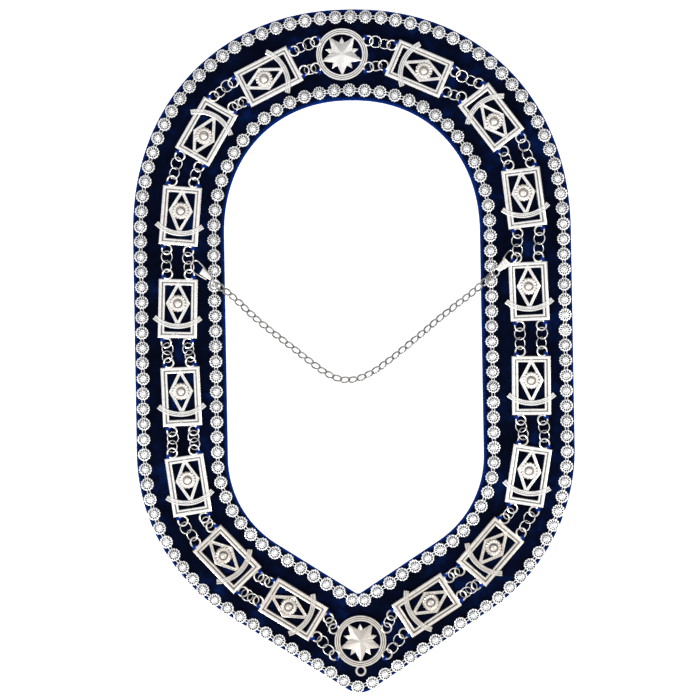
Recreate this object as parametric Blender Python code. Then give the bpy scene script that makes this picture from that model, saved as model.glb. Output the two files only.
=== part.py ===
"""A ceremonial chain collar, lying flat on its back.

Metres, +Z up. The collar rests on the plane z = 0 with its pointed end towards -Y, and is seen
from above. Left and right are the viewer's. The origin is the middle of its box, on the plane.
A velvet band carries sixteen cast plates and two round medallions, which rows of jump rings link.
Two strings of rhinestone cups trim the band, and a hooked safety chain crosses its opening.
"""

import math
from collections import namedtuple

import bmesh
import bpy
from mathutils import Matrix, Vector

MM = 0.001

# Fits
SEAT_GAP = 0.3 * MM
RING_CLEARANCE = 0.35 * MM
MERGE_DISTANCE = 0.05 * MM
WELD_DISTANCE = 0.001 * MM

# Velvet band: an arched top, straight sides, round shoulders and two diagonals that meet in a tip
HALF_WIDTH = 197 * MM
ARCH_RISE = 202.5 * MM
ARCH_POWER = 2.15
SIDE_LENGTH = 194 * MM
SHOULDER_RADIUS = 174 * MM
DIAGONAL_SLOPE = math.radians(32.8)
TIP_RADIUS = 20 * MM
INNER_TIP_SHARPNESS = 0.8
BAND_WIDTH = 82 * MM
DIAGONAL_BAND_WIDTH = 77.5 * MM
BAND_THICKNESS = 3 * MM
BAND_EDGE = 1.2 * MM

# Cast plates
PLATE_WIDTH = 35.8 * MM
PLATE_LENGTH = 53.8 * MM
FRAME_WIDTH = 6.5 * MM
LOZENGE_BAR = 3.0 * MM
LOZENGE_HALF_WIDTH = 9.4 * MM
LOZENGE_THICKNESS = 2.8 * MM
BOSS_RISE = 4.6 * MM
BOSS_RADIUS = 7.9 * MM
BOSS_BASE = 2.0 * MM
BOSS_HEIGHT = 4.6 * MM
DOME_RADIUS = 3.4 * MM
SWAG_SPAN = 41.4 * MM
SWAG_SAG = 7.8 * MM
SWAG_DROP = 15.8 * MM
SWAG_WIDTH = 4.9 * MM
SWAG_THICKNESS = 3.6 * MM

# Lugs: the cast eyelets at the ends of the plates and the sides of the medallions
LUG_RADIUS = 4.3 * MM
LUG_WIDTH = 1.4 * MM
LUG_THICKNESS = 0.9 * MM
LUG_SPACING = 19.6 * MM
LUG_REACH = 3.9 * MM
LUG_SWEEP = math.radians(162)

# Jump rings
RING_RADIUS = 5.25 * MM
RING_WIRE = 1.0 * MM
LUG_BITE = 1.95 * MM
PAIR_BITE = 0.9 * MM
TILT_STEP = 0.94
LEAST_ROW = 13.5 * MM
# The tilt of a ring, rounded, from which the slant of its wire over a lug's is taken
RING_LEAN = math.radians(27)

# Medallions
MEDALLION_RADIUS = 23.4 * MM
MEDALLION_RIM = 5.6 * MM
STAR_POINTS = 5
STAR_WAIST = 0.48
SMALL_STAR_SHARE = 0.81
STAR_BITE = 1.4 * MM
SMALL_STAR_DROP = 0.5 * MM
STAR_THICKNESS = 2.4 * MM
STAR_RIDGE = 1.3 * MM
MEDALLION_LUG_ANGLE = math.radians(26.5)
MEDALLION_LUG_SINK = 0.9 * MM
PENDANT_EYE_RADIUS = 4.0 * MM
PENDANT_EYE_WIDTH = 2.7 * MM
PENDANT_EYE_THICKNESS = 1.6 * MM
PENDANT_EYE_BASE = 0.4 * MM

# Rhinestone trims, as the flattened envelope of each string of cups
TRIM_WIDTH = 12.3 * MM
TRIM_HEIGHT = 4.2 * MM
OUTER_TRIM_INSET = 6.0 * MM
INNER_TRIM_INSET = 8.3 * MM
TRIM_STEP = 42 * MM
LEAST_TRIM_STEPS = 4

# Safety chain and its hooks, which hold the inner row of rings with this number, counted from the top
HOOK_ROW = 3
CHAIN_DIAMETER = 5.2 * MM
CHAIN_STEP = 15 * MM
LEFT_HOOK_HEADING = math.radians(33.5)
RIGHT_HOOK_HEADING = math.radians(43.8)
HOOK_WIRE = 1.1 * MM
LOOP_LENGTH = 13.0 * MM
LOOP_HALF_WIDTH = 3.3 * MM
SLEEVE_LENGTH = 12.0 * MM
SLEEVE_WIDE_END = 6.9 * MM
SLEEVE_NARROW_END = 4.6 * MM
SLEEVE_THICKNESS = 2.2 * MM
HOOK_EYE_RADIUS = 3.4 * MM
HOOK_EYE_WIRE = 1.2 * MM

# How finely round things are divided
ARCH_STEPS = 11
SHOULDER_STEPS = 5
TIP_STEPS = 1
ROUTE_STEPS = 80
CURVE_STEPS = 12
FLAT_ANGLE = math.radians(0.5)
RING_SIDES = 10
WIRE_SIDES = 5
LUG_STEPS = 6
MEDALLION_SIDES = 16
EYE_SIDES = 8
LINK_END_STEPS = 4
BOSS_SIDES = 8
SWAG_STEPS = 4

# Hand-sewn places of the plates. slip moves a plate along the chain, as a share of the mean gap
# between lugs; drift moves it outwards, as a share of the band's width; turn is in degrees,
# outwards at the plate's lower end. flipped plates have their swag towards the top.
Seat = namedtuple("Seat", ["slip", "drift", "turn", "flipped"])
LEFT_PLATES = (
    Seat(0.26, -0.040, -0.2, True),
    Seat(0.14, -0.020, -2.0, True),
    Seat(0.26, -0.020, 0.3, False),
    Seat(0.52, 0.016, 2.1, False),
    Seat(0.53, -0.005, -1.7, False),
    Seat(0.62, -0.034, 3.2, False),
    Seat(0.52, -0.012, 1.7, False),
    Seat(0.27, 0.034, -0.5, False),
)
RIGHT_PLATES = (
    Seat(-0.36, -0.034, -1.4, True),
    Seat(-0.34, 0.014, 0.4, True),
    Seat(-0.36, 0.010, -1.7, False),
    Seat(-0.06, 0.021, 1.5, False),
    Seat(0.27, 0.030, -0.5, False),
    Seat(0.40, 0.004, -0.1, False),
    Seat(0.32, -0.017, 1.6, False),
    Seat(0.10, 0.034, -0.5, False),
)
TOP_MEDALLION_SLIP = -0.36
BOTTOM_MEDALLION_SLIP = 0.07
BOTTOM_MEDALLION_DRIFT = -0.03

# Route of the safety chain between its hooks, left to right, laid by hand: x and y in mm, and lift
# as the share of the height from lying on the surface up to the hooks
Stop = namedtuple("Stop", ["x", "y", "lift"])
CHAIN_ROUTE = (
    Stop(-112.2, 54.6, 0.78),
    Stop(-106.2, 49.0, 0.36),
    Stop(-99.6, 42.6, 0.08),
    Stop(-91.2, 34.2, 0.0),
    Stop(-80.6, 24.6, 0.0),
    Stop(-69.9, 15.8, 0.0),
    Stop(-54.0, 3.2, 0.0),
    Stop(-38.0, -9.9, 0.0),
    Stop(-27.3, -18.0, 0.0),
    Stop(-16.6, -23.8, 0.0),
    Stop(-5.9, -25.9, 0.0),
    Stop(5.0, -24.3, 0.0),
    Stop(15.9, -19.5, 0.0),
    Stop(26.8, -12.4, 0.0),
    Stop(43.2, 0.0, 0.0),
    Stop(59.7, 13.4, 0.0),
    Stop(76.0, 26.9, 0.0),
    Stop(92.5, 39.6, 0.0),
    Stop(100.4, 45.4, 0.08),
    Stop(107.0, 50.6, 0.40),
    Stop(113.6, 56.2, 0.84),
)

# The hook's wire loop, from the sleeve round the ring and back: along is the share of LOOP_LENGTH
# from the ring's middle to the sleeve, across the share of LOOP_HALF_WIDTH towards the top of the
# collar, lift the share of the height from the ring's middle up to the sleeve
Bend = namedtuple("Bend", ["along", "across", "lift"])
LOOP_PATH = (
    Bend(1.08, -0.74, 1.00),
    Bend(0.70, -0.94, 0.80),
    Bend(0.40, -0.96, 0.58),
    Bend(0.19, -0.60, 0.48),
    Bend(0.12, 0.00, 0.38),
    Bend(0.19, 0.70, 0.29),
    Bend(0.40, 1.00, 0.24),
    Bend(0.70, 0.94, 0.60),
    Bend(1.08, 0.74, 1.00),
)

# Colours, roughness and metal
FINISHES = {
    "velvet": ((0.004, 0.008, 0.045), 0.95, 0.0),
    "cast_silver": ((0.80, 0.78, 0.75), 0.32, 1.0),
    "ring_silver": ((0.74, 0.73, 0.70), 0.25, 1.0),
    "rhinestone": ((0.86, 0.88, 0.92), 0.12, 0.4),
    "chain_silver": ((0.48, 0.47, 0.45), 0.30, 1.0),
}


def clear_scene():
    for item in list(bpy.data.objects):
        bpy.data.objects.remove(item, do_unlink=True)


def new_collection(name):
    collection = bpy.data.collections.new(name)
    bpy.context.scene.collection.children.link(collection)
    return collection


def make_materials():
    materials = {}
    for name, (colour, roughness, metallic) in FINISHES.items():
        material = bpy.data.materials.new(name)
        material.use_nodes = True
        shader = material.node_tree.nodes["Principled BSDF"]
        shader.inputs["Base Color"].default_value = (*colour, 1.0)
        shader.inputs["Roughness"].default_value = roughness
        shader.inputs["Metallic"].default_value = metallic
        materials[name] = material
    return materials


# The band's outline and the chain's route

def arc_points(centre, radius, start, end, steps):
    """Points along an arc, both ends included."""
    return [
        centre + radius * Vector((math.cos(angle), math.sin(angle)))
        for angle in (start + (end - start) * i / steps for i in range(steps + 1))
    ]


def sharp_tip(inset):
    """Where the two diagonals would meet, below the arch's centre."""
    corner = HALF_WIDTH - SHOULDER_RADIUS
    outer = -SIDE_LENGTH - (SHOULDER_RADIUS + math.sin(DIAGONAL_SLOPE) * corner) / math.cos(DIAGONAL_SLOPE)
    return outer + inset / BAND_WIDTH * DIAGONAL_BAND_WIDTH / math.cos(DIAGONAL_SLOPE)


def tip_radius(inset):
    return TIP_RADIUS * (1 - INNER_TIP_SHARPNESS * inset / BAND_WIDTH)


def lowest_point(inset):
    return sharp_tip(inset) + tip_radius(inset) * (1 / math.cos(DIAGONAL_SLOPE) - 1)


ARCH_CENTRE = Vector((0, -(ARCH_RISE + lowest_point(0)) / 2))


def half_outline(inset, arch_steps=ARCH_STEPS, shoulder_steps=SHOULDER_STEPS, tip_steps=TIP_STEPS):
    """Right half of the band's outline, moved inwards by inset, from the top's middle to the tip."""
    width = HALF_WIDTH - inset
    rise = ARCH_RISE - inset
    radius = SHOULDER_RADIUS - inset
    corner = HALF_WIDTH - SHOULDER_RADIUS
    corner_drop = (radius + math.sin(DIAGONAL_SLOPE) * corner) / math.cos(DIAGONAL_SLOPE)
    shoulder = Vector((corner, sharp_tip(inset) + corner_drop))
    tip_centre = Vector((0, sharp_tip(inset) + tip_radius(inset) / math.cos(DIAGONAL_SLOPE)))
    bend = math.pi / 2 - DIAGONAL_SLOPE
    points = []
    for i in range(arch_steps + 1):
        angle = math.pi / 2 * (1 - i / arch_steps)
        across = width * abs(math.cos(angle)) ** (2 / ARCH_POWER)
        up = rise * abs(math.sin(angle)) ** (2 / ARCH_POWER)
        points.append(Vector((across if i else 0.0, up)))
    points += arc_points(shoulder, radius, 0, -bend, shoulder_steps)
    points += arc_points(tip_centre, tip_radius(inset), -bend, -math.pi / 2, tip_steps)
    points[-1].x = 0.0
    return [ARCH_CENTRE + point for point in points]


def whole_outline(half):
    """A half outline and its mirror image, as one closed loop."""
    mirrored = [Vector((-point.x, point.y)) for point in reversed(half[1:-1])]
    return half + mirrored


def walk(points, distances):
    """Points at the given distances along a polyline, each with the direction of travel."""
    found = []
    travelled = 0.0
    index = 0
    for distance in distances:
        while index < len(points) - 2 and travelled + (points[index + 1] - points[index]).length < distance:
            travelled += (points[index + 1] - points[index]).length
            index += 1
        step = points[index + 1] - points[index]
        found.append((points[index] + step.normalized() * (distance - travelled), step.normalized()))
    return found


def polyline_length(points):
    return sum((b - a).length for a, b in zip(points, points[1:]))


def even_half(inset, step):
    """A half outline walked in even steps of about the given length, both ends included."""
    fine = half_outline(inset, ROUTE_STEPS, ROUTE_STEPS, TIP_STEPS)
    length = polyline_length(fine)
    count = max(LEAST_TRIM_STEPS, round(length / step))
    return [point for point, _ in walk(fine, [length * i / count for i in range(count + 1)])]


CHAIN_LINE = half_outline(BAND_WIDTH / 2, ROUTE_STEPS, ROUTE_STEPS, TIP_STEPS)


# Solids

def mesh_of(obj):
    """The evaluated mesh of an object in world space, welded and facing outwards."""
    bpy.context.view_layer.update()
    evaluated = obj.evaluated_get(bpy.context.evaluated_depsgraph_get())
    mesh = bpy.data.meshes.new_from_object(evaluated)
    mesh.transform(obj.matrix_world)
    work = bmesh.new()
    work.from_mesh(mesh)
    bmesh.ops.remove_doubles(work, verts=work.verts, dist=WELD_DISTANCE)
    bmesh.ops.recalc_face_normals(work, faces=work.faces)
    work.to_mesh(mesh)
    work.free()
    return mesh


def curve_object(name, loops, cyclic, flat):
    curve = bpy.data.curves.new(name, "CURVE")
    curve.dimensions = "2D" if flat else "3D"
    for loop in loops:
        spline = curve.splines.new("POLY")
        spline.points.add(len(loop) - 1)
        for point, place in zip(spline.points, loop):
            point.co = (place[0], place[1], 0 if flat else place[2], 1)
        spline.use_cyclic_u = cyclic
    obj = bpy.data.objects.new(name, curve)
    bpy.context.scene.collection.objects.link(obj)
    return obj


def take_mesh(obj):
    """The object's mesh, once the object itself has been removed."""
    mesh = mesh_of(obj)
    bpy.data.objects.remove(obj, do_unlink=True)
    return mesh


def flat_solid(loops, bottom, top, edge=0.0):
    """A flat outline with its holes, filled and made solid between two heights."""
    obj = curve_object("outline", loops, True, True)
    obj.data.fill_mode = "BOTH"
    obj.data.extrude = (top - bottom) / 2 - edge
    obj.data.bevel_depth = edge
    obj.data.bevel_resolution = 0
    obj.location.z = (top + bottom) / 2
    return take_mesh(obj)


def wire_solid(points, diameter, cyclic=False, resolution=1):
    obj = curve_object("wire", [points], cyclic, False)
    obj.data.bevel_depth = diameter / 2
    obj.data.bevel_resolution = resolution
    obj.data.use_fill_caps = not cyclic
    return take_mesh(obj)


def cone_solid(radius_below, radius_above, bottom, top, sides):
    work = bmesh.new()
    bmesh.ops.create_cone(
        work, cap_ends=True, segments=sides, radius1=radius_below, radius2=radius_above,
        depth=top - bottom, matrix=Matrix.Translation((0, 0, (top + bottom) / 2)))
    mesh = bpy.data.meshes.new("cone")
    work.to_mesh(mesh)
    work.free()
    return mesh


def torus_solid(radius, wire, sides, wire_sides):
    bpy.ops.mesh.primitive_torus_add(
        major_segments=sides, minor_segments=wire_sides, major_radius=radius, minor_radius=wire / 2)
    return take_mesh(bpy.context.object)


def moved(mesh, matrix):
    copy = mesh.copy()
    copy.transform(matrix)
    return copy


def fuse(meshes):
    """One closed body from meshes that overlap."""
    group = bpy.data.collections.new("fusing")
    base = bpy.data.objects.new("base", meshes[0])
    bpy.context.scene.collection.objects.link(base)
    others = []
    for mesh in meshes[1:]:
        other = bpy.data.objects.new("other", mesh)
        group.objects.link(other)
        others.append(other)
    union = base.modifiers.new("union", "BOOLEAN")
    union.operation = "UNION"
    union.solver = "EXACT"
    union.operand_type = "COLLECTION"
    union.collection = group
    fused = mesh_of(base)
    for item in others + [base]:
        bpy.data.objects.remove(item, do_unlink=True)
    bpy.data.collections.remove(group)
    work = bmesh.new()
    work.from_mesh(fused)
    bmesh.ops.dissolve_degenerate(work, edges=work.edges, dist=MERGE_DISTANCE)
    bmesh.ops.dissolve_limit(
        work, angle_limit=FLAT_ANGLE, verts=work.verts, edges=work.edges)
    bmesh.ops.triangulate(work, faces=work.faces)
    work.to_mesh(fused)
    work.free()
    return fused


def add_node(name, mesh, finish, matrix=Matrix()):
    """A named piece in the collar's collection."""
    if not mesh.materials:
        mesh.materials.append(MATERIALS[finish])
    obj = bpy.data.objects.new(name, mesh)
    obj.matrix_world = matrix
    COLLAR.objects.link(obj)
    return obj


# Where pieces lie

def spin(angle):
    return Matrix.Rotation(angle, 4, "Z")


def seat_matrix(side, distance, drift, turn):
    """Place on the band: side is 1 right or -1 left, distance runs down the chain from the top."""
    (point, travel), = walk(CHAIN_LINE, [distance])
    outwards = Vector((-travel.y, travel.x))
    place = point + outwards * drift
    lean = math.atan2(travel.x, -travel.y) + turn
    level = BAND_THICKNESS + SEAT_GAP
    return Matrix.Translation((side * place.x, place.y, level)) @ spin(side * lean)


def ring_tilt():
    """How far a ring tilts about its row, so that its wire passes over and under a lug's."""
    spread = LUG_RADIUS + RING_RADIUS - LUG_BITE
    along = (spread ** 2 + LUG_RADIUS ** 2 - RING_RADIUS ** 2) / (2 * spread)
    across = math.sqrt(LUG_RADIUS ** 2 - along ** 2) * (1 - LUG_WIDTH / (2 * LUG_RADIUS))
    rise = LUG_THICKNESS / 2 + RING_WIRE / 2 / math.cos(RING_LEAN) + RING_CLEARANCE
    return math.atan(rise / across)


RING_TILT = ring_tilt()
LUG_LEVEL = BAND_THICKNESS + SEAT_GAP + RING_RADIUS * math.sin(RING_TILT) + RING_WIRE / 2
LUG_HEIGHT = LUG_LEVEL - BAND_THICKNESS - SEAT_GAP
FRAME_THICKNESS = LUG_HEIGHT + LUG_THICKNESS / 2
PLATE_REACH = PLATE_LENGTH / 2 + LUG_REACH
MEDALLION_LUG_RADIUS = MEDALLION_RADIUS + LUG_REACH - MEDALLION_LUG_SINK
MEDALLION_REACH = MEDALLION_LUG_RADIUS * math.cos(MEDALLION_LUG_ANGLE)


def plate_pattern():
    """How many plates fit down one side, and the mean gap left between their lugs."""
    free = polyline_length(CHAIN_LINE) - 2 * MEDALLION_REACH
    count = math.floor((free - LEAST_ROW) / (2 * PLATE_REACH + LEAST_ROW))
    return count, (free - count * 2 * PLATE_REACH) / (count + 1)


PLATE_COUNT, LUG_GAP = plate_pattern()


def plate_places(side, table):
    """Matrix of each plate down one side, and whether it is flipped."""
    places = []
    for index in range(PLATE_COUNT):
        seat = table[min(index, len(table) - 1)]
        distance = MEDALLION_REACH + LUG_GAP + PLATE_REACH + index * (2 * PLATE_REACH + LUG_GAP)
        matrix = seat_matrix(
            side, distance + seat.slip * LUG_GAP, seat.drift * BAND_WIDTH, math.radians(seat.turn))
        places.append((matrix, seat.flipped))
    return places


def medallion_places():
    """Matrices of the top and bottom medallions."""
    (top, _), = walk(CHAIN_LINE, [abs(TOP_MEDALLION_SLIP) * LUG_GAP])
    bottom = CHAIN_LINE[-1]
    level = BAND_THICKNESS + SEAT_GAP
    top_place = (math.copysign(top.x, TOP_MEDALLION_SLIP), top.y, level)
    bottom_place = (
        BOTTOM_MEDALLION_SLIP * LUG_GAP, bottom.y - BOTTOM_MEDALLION_DRIFT * BAND_WIDTH, level)
    return Matrix.Translation(top_place), Matrix.Translation(bottom_place)


# Cast pieces

def ring_loop(radius, sides, centre=(0, 0)):
    return [
        Vector((centre[0] + radius * math.cos(turn), centre[1] + radius * math.sin(turn)))
        for turn in (2 * math.pi * (i + 0.5) / sides for i in range(sides))
    ]


def lug_solid(centre, facing):
    """A flat eyelet at a lug's height, open where its two feet sink into the cast edge behind it."""
    bottom = LUG_HEIGHT - LUG_THICKNESS / 2
    start, end = facing - LUG_SWEEP, facing + LUG_SWEEP
    middle = Vector((centre[0], centre[1]))
    grown = 2 / (1 + math.cos(LUG_SWEEP / LUG_STEPS))
    outer = arc_points(middle, (LUG_RADIUS + LUG_WIDTH / 2) * grown, start, end, LUG_STEPS)
    inner = arc_points(middle, (LUG_RADIUS - LUG_WIDTH / 2) * grown, end, start, LUG_STEPS)
    return flat_solid([outer + inner], bottom, bottom + LUG_THICKNESS)


def rectangle(width, length):
    return [Vector((x * width / 2, y * length / 2)) for x, y in ((-1, -1), (1, -1), (1, 1), (-1, 1))]


def plate_frame():
    opening = rectangle(PLATE_WIDTH - 2 * FRAME_WIDTH, PLATE_LENGTH - 2 * FRAME_WIDTH)
    return flat_solid([rectangle(PLATE_WIDTH, PLATE_LENGTH), opening], 0, FRAME_THICKNESS)


def lozenge(half_width, upper, lower):
    """Corners of a lozenge about the boss, from its upper corner round."""
    return [
        Vector((0, upper)), Vector((-half_width, BOSS_RISE)),
        Vector((0, lower)), Vector((half_width, BOSS_RISE)),
    ]


def plate_lozenge():
    """Four bars round the boss, from the frame's top bar down to the swag."""
    upper = PLATE_LENGTH / 2 - FRAME_WIDTH / 2
    lower = -SWAG_DROP
    grow = LOZENGE_BAR / 2
    slope = math.atan2(upper - BOSS_RISE, LOZENGE_HALF_WIDTH)
    side_grow = grow / math.sin(slope)
    end_grow = grow / math.cos(slope)
    outer = lozenge(LOZENGE_HALF_WIDTH + side_grow, upper + end_grow / 2, lower - end_grow / 2)
    inner = lozenge(LOZENGE_HALF_WIDTH - side_grow, upper - end_grow, lower + end_grow)
    return flat_solid([outer, inner], 0, LOZENGE_THICKNESS)


def plate_swag():
    """A curved band across the plate's lower part, whose ends stand out past the frame."""
    radius = ((SWAG_SPAN / 2) ** 2 + SWAG_SAG ** 2) / (2 * SWAG_SAG)
    sweep = math.asin(SWAG_SPAN / 2 / radius)
    centre = Vector((0, radius - SWAG_DROP))
    start, end = -math.pi / 2 - sweep, -math.pi / 2 + sweep
    outer = arc_points(centre, radius + SWAG_WIDTH / 2, start, end, SWAG_STEPS)
    inner = arc_points(centre, radius - SWAG_WIDTH / 2, end, start, SWAG_STEPS)
    return flat_solid([outer + inner], 0, SWAG_THICKNESS)


def plate_boss():
    """A faceted boss that rests on the lozenge's bars."""
    boss = cone_solid(BOSS_RADIUS, DOME_RADIUS, BOSS_BASE, BOSS_HEIGHT, BOSS_SIDES)
    return moved(boss, Matrix.Translation((0, BOSS_RISE, 0)))


def plate_lugs():
    """Centres of a plate's four lugs in its own frame, by end and by side."""
    return {
        (end, side): Vector((side * LUG_SPACING / 2, end * PLATE_REACH, 0))
        for end in (1, -1) for side in (1, -1)
    }


def make_plates():
    lugs = [lug_solid(centre, end * math.pi / 2) for (end, _), centre in plate_lugs().items()]
    mesh = fuse([plate_frame(), plate_lozenge(), plate_swag(), plate_boss()] + lugs)
    mesh.materials.append(MATERIALS["cast_silver"])
    for side_name, places in (("left", LEFT_PLACES), ("right", RIGHT_PLACES)):
        for number, (matrix, flipped) in enumerate(places, 1):
            place = matrix @ spin(math.pi) if flipped else matrix
            add_node(f"plate_{side_name}_{number}", mesh, "cast_silver", place)


def star_solid(radius, first_angle, thickness):
    """A star with a raised middle, whose points lie at the radius."""
    work = bmesh.new()
    bmesh.ops.create_circle(work, cap_ends=True, segments=2 * STAR_POINTS, radius=radius)
    work.verts.ensure_lookup_table()
    for vert in list(work.verts)[1::2]:
        vert.co *= STAR_WAIST
    bmesh.ops.recalc_face_normals(work, faces=work.faces)
    grown = bmesh.ops.extrude_face_region(work, geom=work.faces[:])
    tops = [item for item in grown["geom"] if isinstance(item, bmesh.types.BMVert)]
    bmesh.ops.translate(work, verts=tops, vec=(0, 0, thickness))
    top_face = max(work.faces, key=lambda face: face.calc_center_median().z)
    bmesh.ops.poke(work, faces=[top_face])
    apex = min(work.verts, key=lambda vert: vert.co.xy.length - vert.co.z)
    apex.co.z = thickness + STAR_RIDGE
    bmesh.ops.recalc_face_normals(work, faces=work.faces)
    bmesh.ops.rotate(work, verts=work.verts, matrix=Matrix.Rotation(first_angle, 3, "Z"))
    mesh = bpy.data.meshes.new("star")
    work.to_mesh(mesh)
    work.free()
    return mesh


def medallion_lug(side, up):
    angle = up * MEDALLION_LUG_ANGLE
    return Vector((side * math.cos(angle), math.sin(angle), 0)) * MEDALLION_LUG_RADIUS


def medallion_mesh(with_eye):
    hole = MEDALLION_RADIUS - MEDALLION_RIM
    loops = [ring_loop(MEDALLION_RADIUS, MEDALLION_SIDES), ring_loop(hole, MEDALLION_SIDES)]
    parts = [flat_solid(loops, 0, FRAME_THICKNESS)]
    star_radius = hole + STAR_BITE
    first_point = math.radians(-90)
    parts.append(star_solid(star_radius, first_point, STAR_THICKNESS))
    small_turn = first_point + math.pi / STAR_POINTS
    parts.append(star_solid(star_radius * SMALL_STAR_SHARE, small_turn, STAR_THICKNESS - SMALL_STAR_DROP))
    for side, up in ((1, 1), (1, -1), (-1, 1), (-1, -1)):
        place = medallion_lug(side, up)
        parts.append(lug_solid(place, math.atan2(place.y, place.x)))
    if with_eye:
        centre = (0, -MEDALLION_RADIUS - PENDANT_EYE_RADIUS + PENDANT_EYE_WIDTH / 3)
        rim = PENDANT_EYE_WIDTH / 2
        eye = [
            ring_loop(PENDANT_EYE_RADIUS + rim, EYE_SIDES, centre),
            ring_loop(PENDANT_EYE_RADIUS - rim, EYE_SIDES, centre),
        ]
        parts.append(flat_solid(eye, PENDANT_EYE_BASE, PENDANT_EYE_BASE + PENDANT_EYE_THICKNESS))
    return fuse(parts)


def make_medallions():
    add_node("medallion_top", medallion_mesh(False), "cast_silver", TOP_PLACE)
    add_node("medallion_bottom", medallion_mesh(True), "cast_silver", BOTTOM_PLACE)


# Jump rings

def lug_line(side, places):
    """Lug pairs down one side, as (upper pair, lower pair) for each gap; a pair is (outer, inner)."""
    lugs = plate_lugs()
    pairs = [(TOP_PLACE @ medallion_lug(side, 1), TOP_PLACE @ medallion_lug(side, -1))]
    for matrix, _ in places:
        for end in (1, -1):
            pairs.append((matrix @ lugs[end, side], matrix @ lugs[end, -side]))
    pairs.append((BOTTOM_PLACE @ medallion_lug(side, -1), BOTTOM_PLACE @ medallion_lug(side, 1)))
    return list(zip(pairs[0::2], pairs[1::2]))


def ring_centres(start, end):
    """Centres of the rings that link two lugs, at the lugs' height."""
    span = (end - start).length
    heading = (end - start).normalized()
    tight = LUG_RADIUS + RING_RADIUS - LUG_BITE
    pair = 2 * RING_RADIUS - PAIR_BITE
    count = 1 + max(0, math.ceil((span - 2 * tight) / pair))
    first = span * tight / (2 * tight + (count - 1) * pair)
    if count > 1:
        passing = LUG_RADIUS + LUG_WIDTH / 2 + RING_RADIUS + RING_WIRE / 2 + RING_CLEARANCE
        first = min(first, max(span - passing, span / 4))
    step = (span - 2 * first) / (count - 1) if count > 1 else 0
    return [start + heading * (first + i * step) for i in range(count)]


def flat_at(point, level):
    return Vector((point.x, point.y, level))


def ring_matrices(side, start, end):
    """Places of a row's rings: each tilts about the row, its side towards the opening raised."""
    start, end = flat_at(start, LUG_LEVEL), flat_at(end, LUG_LEVEL)
    heading = (end - start).normalized()
    facing = spin(math.atan2(heading.y, heading.x))
    matrices = []
    for index, centre in enumerate(ring_centres(start, end)):
        tilt = RING_TILT * (TILT_STEP if index % 2 else 1)
        turn = Matrix.Rotation(-side * tilt, 4, heading)
        matrices.append(Matrix.Translation(centre) @ turn @ facing)
    return matrices


def ring_rows():
    """Each row's name and ring places, down both sides."""
    rows = {}
    for side, side_name, places in ((-1, "left", LEFT_PLACES), (1, "right", RIGHT_PLACES)):
        for gap, (upper, lower) in enumerate(lug_line(side, places)):
            for place, start, end in zip(("outer", "inner"), upper, lower):
                rows[f"ring_row_{side_name}_{gap}_{place}"] = ring_matrices(side, start, end)
    return rows


def long_link(matrices):
    """One tube round all rings of a row, in the first ring's plane."""
    first, last = matrices[0], matrices[-1]
    reach = (last.translation - first.translation).length
    right = math.pi / 2
    near = arc_points(Vector((0, 0)), RING_RADIUS, right, 3 * right, LINK_END_STEPS)
    far = arc_points(Vector((reach, 0)), RING_RADIUS, -right, right, LINK_END_STEPS)
    return wire_solid([first @ point.to_3d() for point in near + far], RING_WIRE, cyclic=True)


def make_ring_rows():
    """The inner rows as rings, and the outer rows as one long link each."""
    ring = torus_solid(RING_RADIUS, RING_WIRE, RING_SIDES, WIRE_SIDES)
    for name, matrices in ROWS.items():
        rings = [moved(ring, matrix) for matrix in matrices]
        if len(rings) == 1:
            mesh = rings[0]
        elif name.endswith("outer"):
            mesh = long_link(matrices)
        else:
            mesh = fuse(rings)
        add_node(name, mesh, "ring_silver")


# Band, trims, hooks and safety chain

def make_band():
    outer = whole_outline(half_outline(BAND_EDGE))
    inner = whole_outline(half_outline(BAND_WIDTH - BAND_EDGE))
    add_node("velvet_band", flat_solid([outer, inner], 0, BAND_THICKNESS, BAND_EDGE), "velvet")


def make_trim(name, inset):
    level = BAND_THICKNESS + SEAT_GAP + TRIM_HEIGHT / 2
    loop = [(point.x, point.y, 0) for point in whole_outline(even_half(inset, TRIM_STEP))]
    mesh = wire_solid(loop, TRIM_WIDTH, cyclic=True)
    flatten = Matrix.Diagonal((1, 1, TRIM_HEIGHT / TRIM_WIDTH, 1))
    mesh.transform(Matrix.Translation((0, 0, level)) @ flatten)
    add_node(name, mesh, "rhinestone")


HOOK_LEVEL = BAND_THICKNESS + TRIM_HEIGHT + 2 * SEAT_GAP + CHAIN_DIAMETER / 2
HOOK_EYE_PLACE = LOOP_LENGTH + SLEEVE_LENGTH + HOOK_EYE_RADIUS


def hook_ring(side):
    """Middle of the ring that a hook holds: the lowest in its row."""
    side_name = "right" if side > 0 else "left"
    number = min(HOOK_ROW, PLATE_COUNT)
    return ROWS[f"ring_row_{side_name}_{number}_inner"][-1].translation


def hook_frame(side):
    """Axes of a hook: along runs from the ring's middle towards the opening and down."""
    heading = RIGHT_HOOK_HEADING if side > 0 else LEFT_HOOK_HEADING
    along = Vector((-side * math.cos(heading), -math.sin(heading), 0))
    across = Vector((-side * math.sin(heading), math.cos(heading), 0))
    return hook_ring(side), along, across


def hook_point(side, along_distance, across_distance, level):
    middle, along, across = hook_frame(side)
    return flat_at(middle + along * along_distance + across * across_distance, level)


def sleeve_solid(side):
    """A flat tapered box over the ends of the hook's wire."""
    work = bmesh.new()
    bmesh.ops.create_cube(work, size=1)
    for vert in work.verts:
        width = SLEEVE_NARROW_END if vert.co.x > 0 else SLEEVE_WIDE_END
        along = LOOP_LENGTH + SLEEVE_LENGTH * (vert.co.x + 0.5)
        level = HOOK_LEVEL + SLEEVE_THICKNESS * vert.co.z
        vert.co = hook_point(side, along, width * vert.co.y, level)
    bmesh.ops.recalc_face_normals(work, faces=work.faces)
    mesh = bpy.data.meshes.new("sleeve")
    work.to_mesh(mesh)
    work.free()
    return mesh


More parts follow.
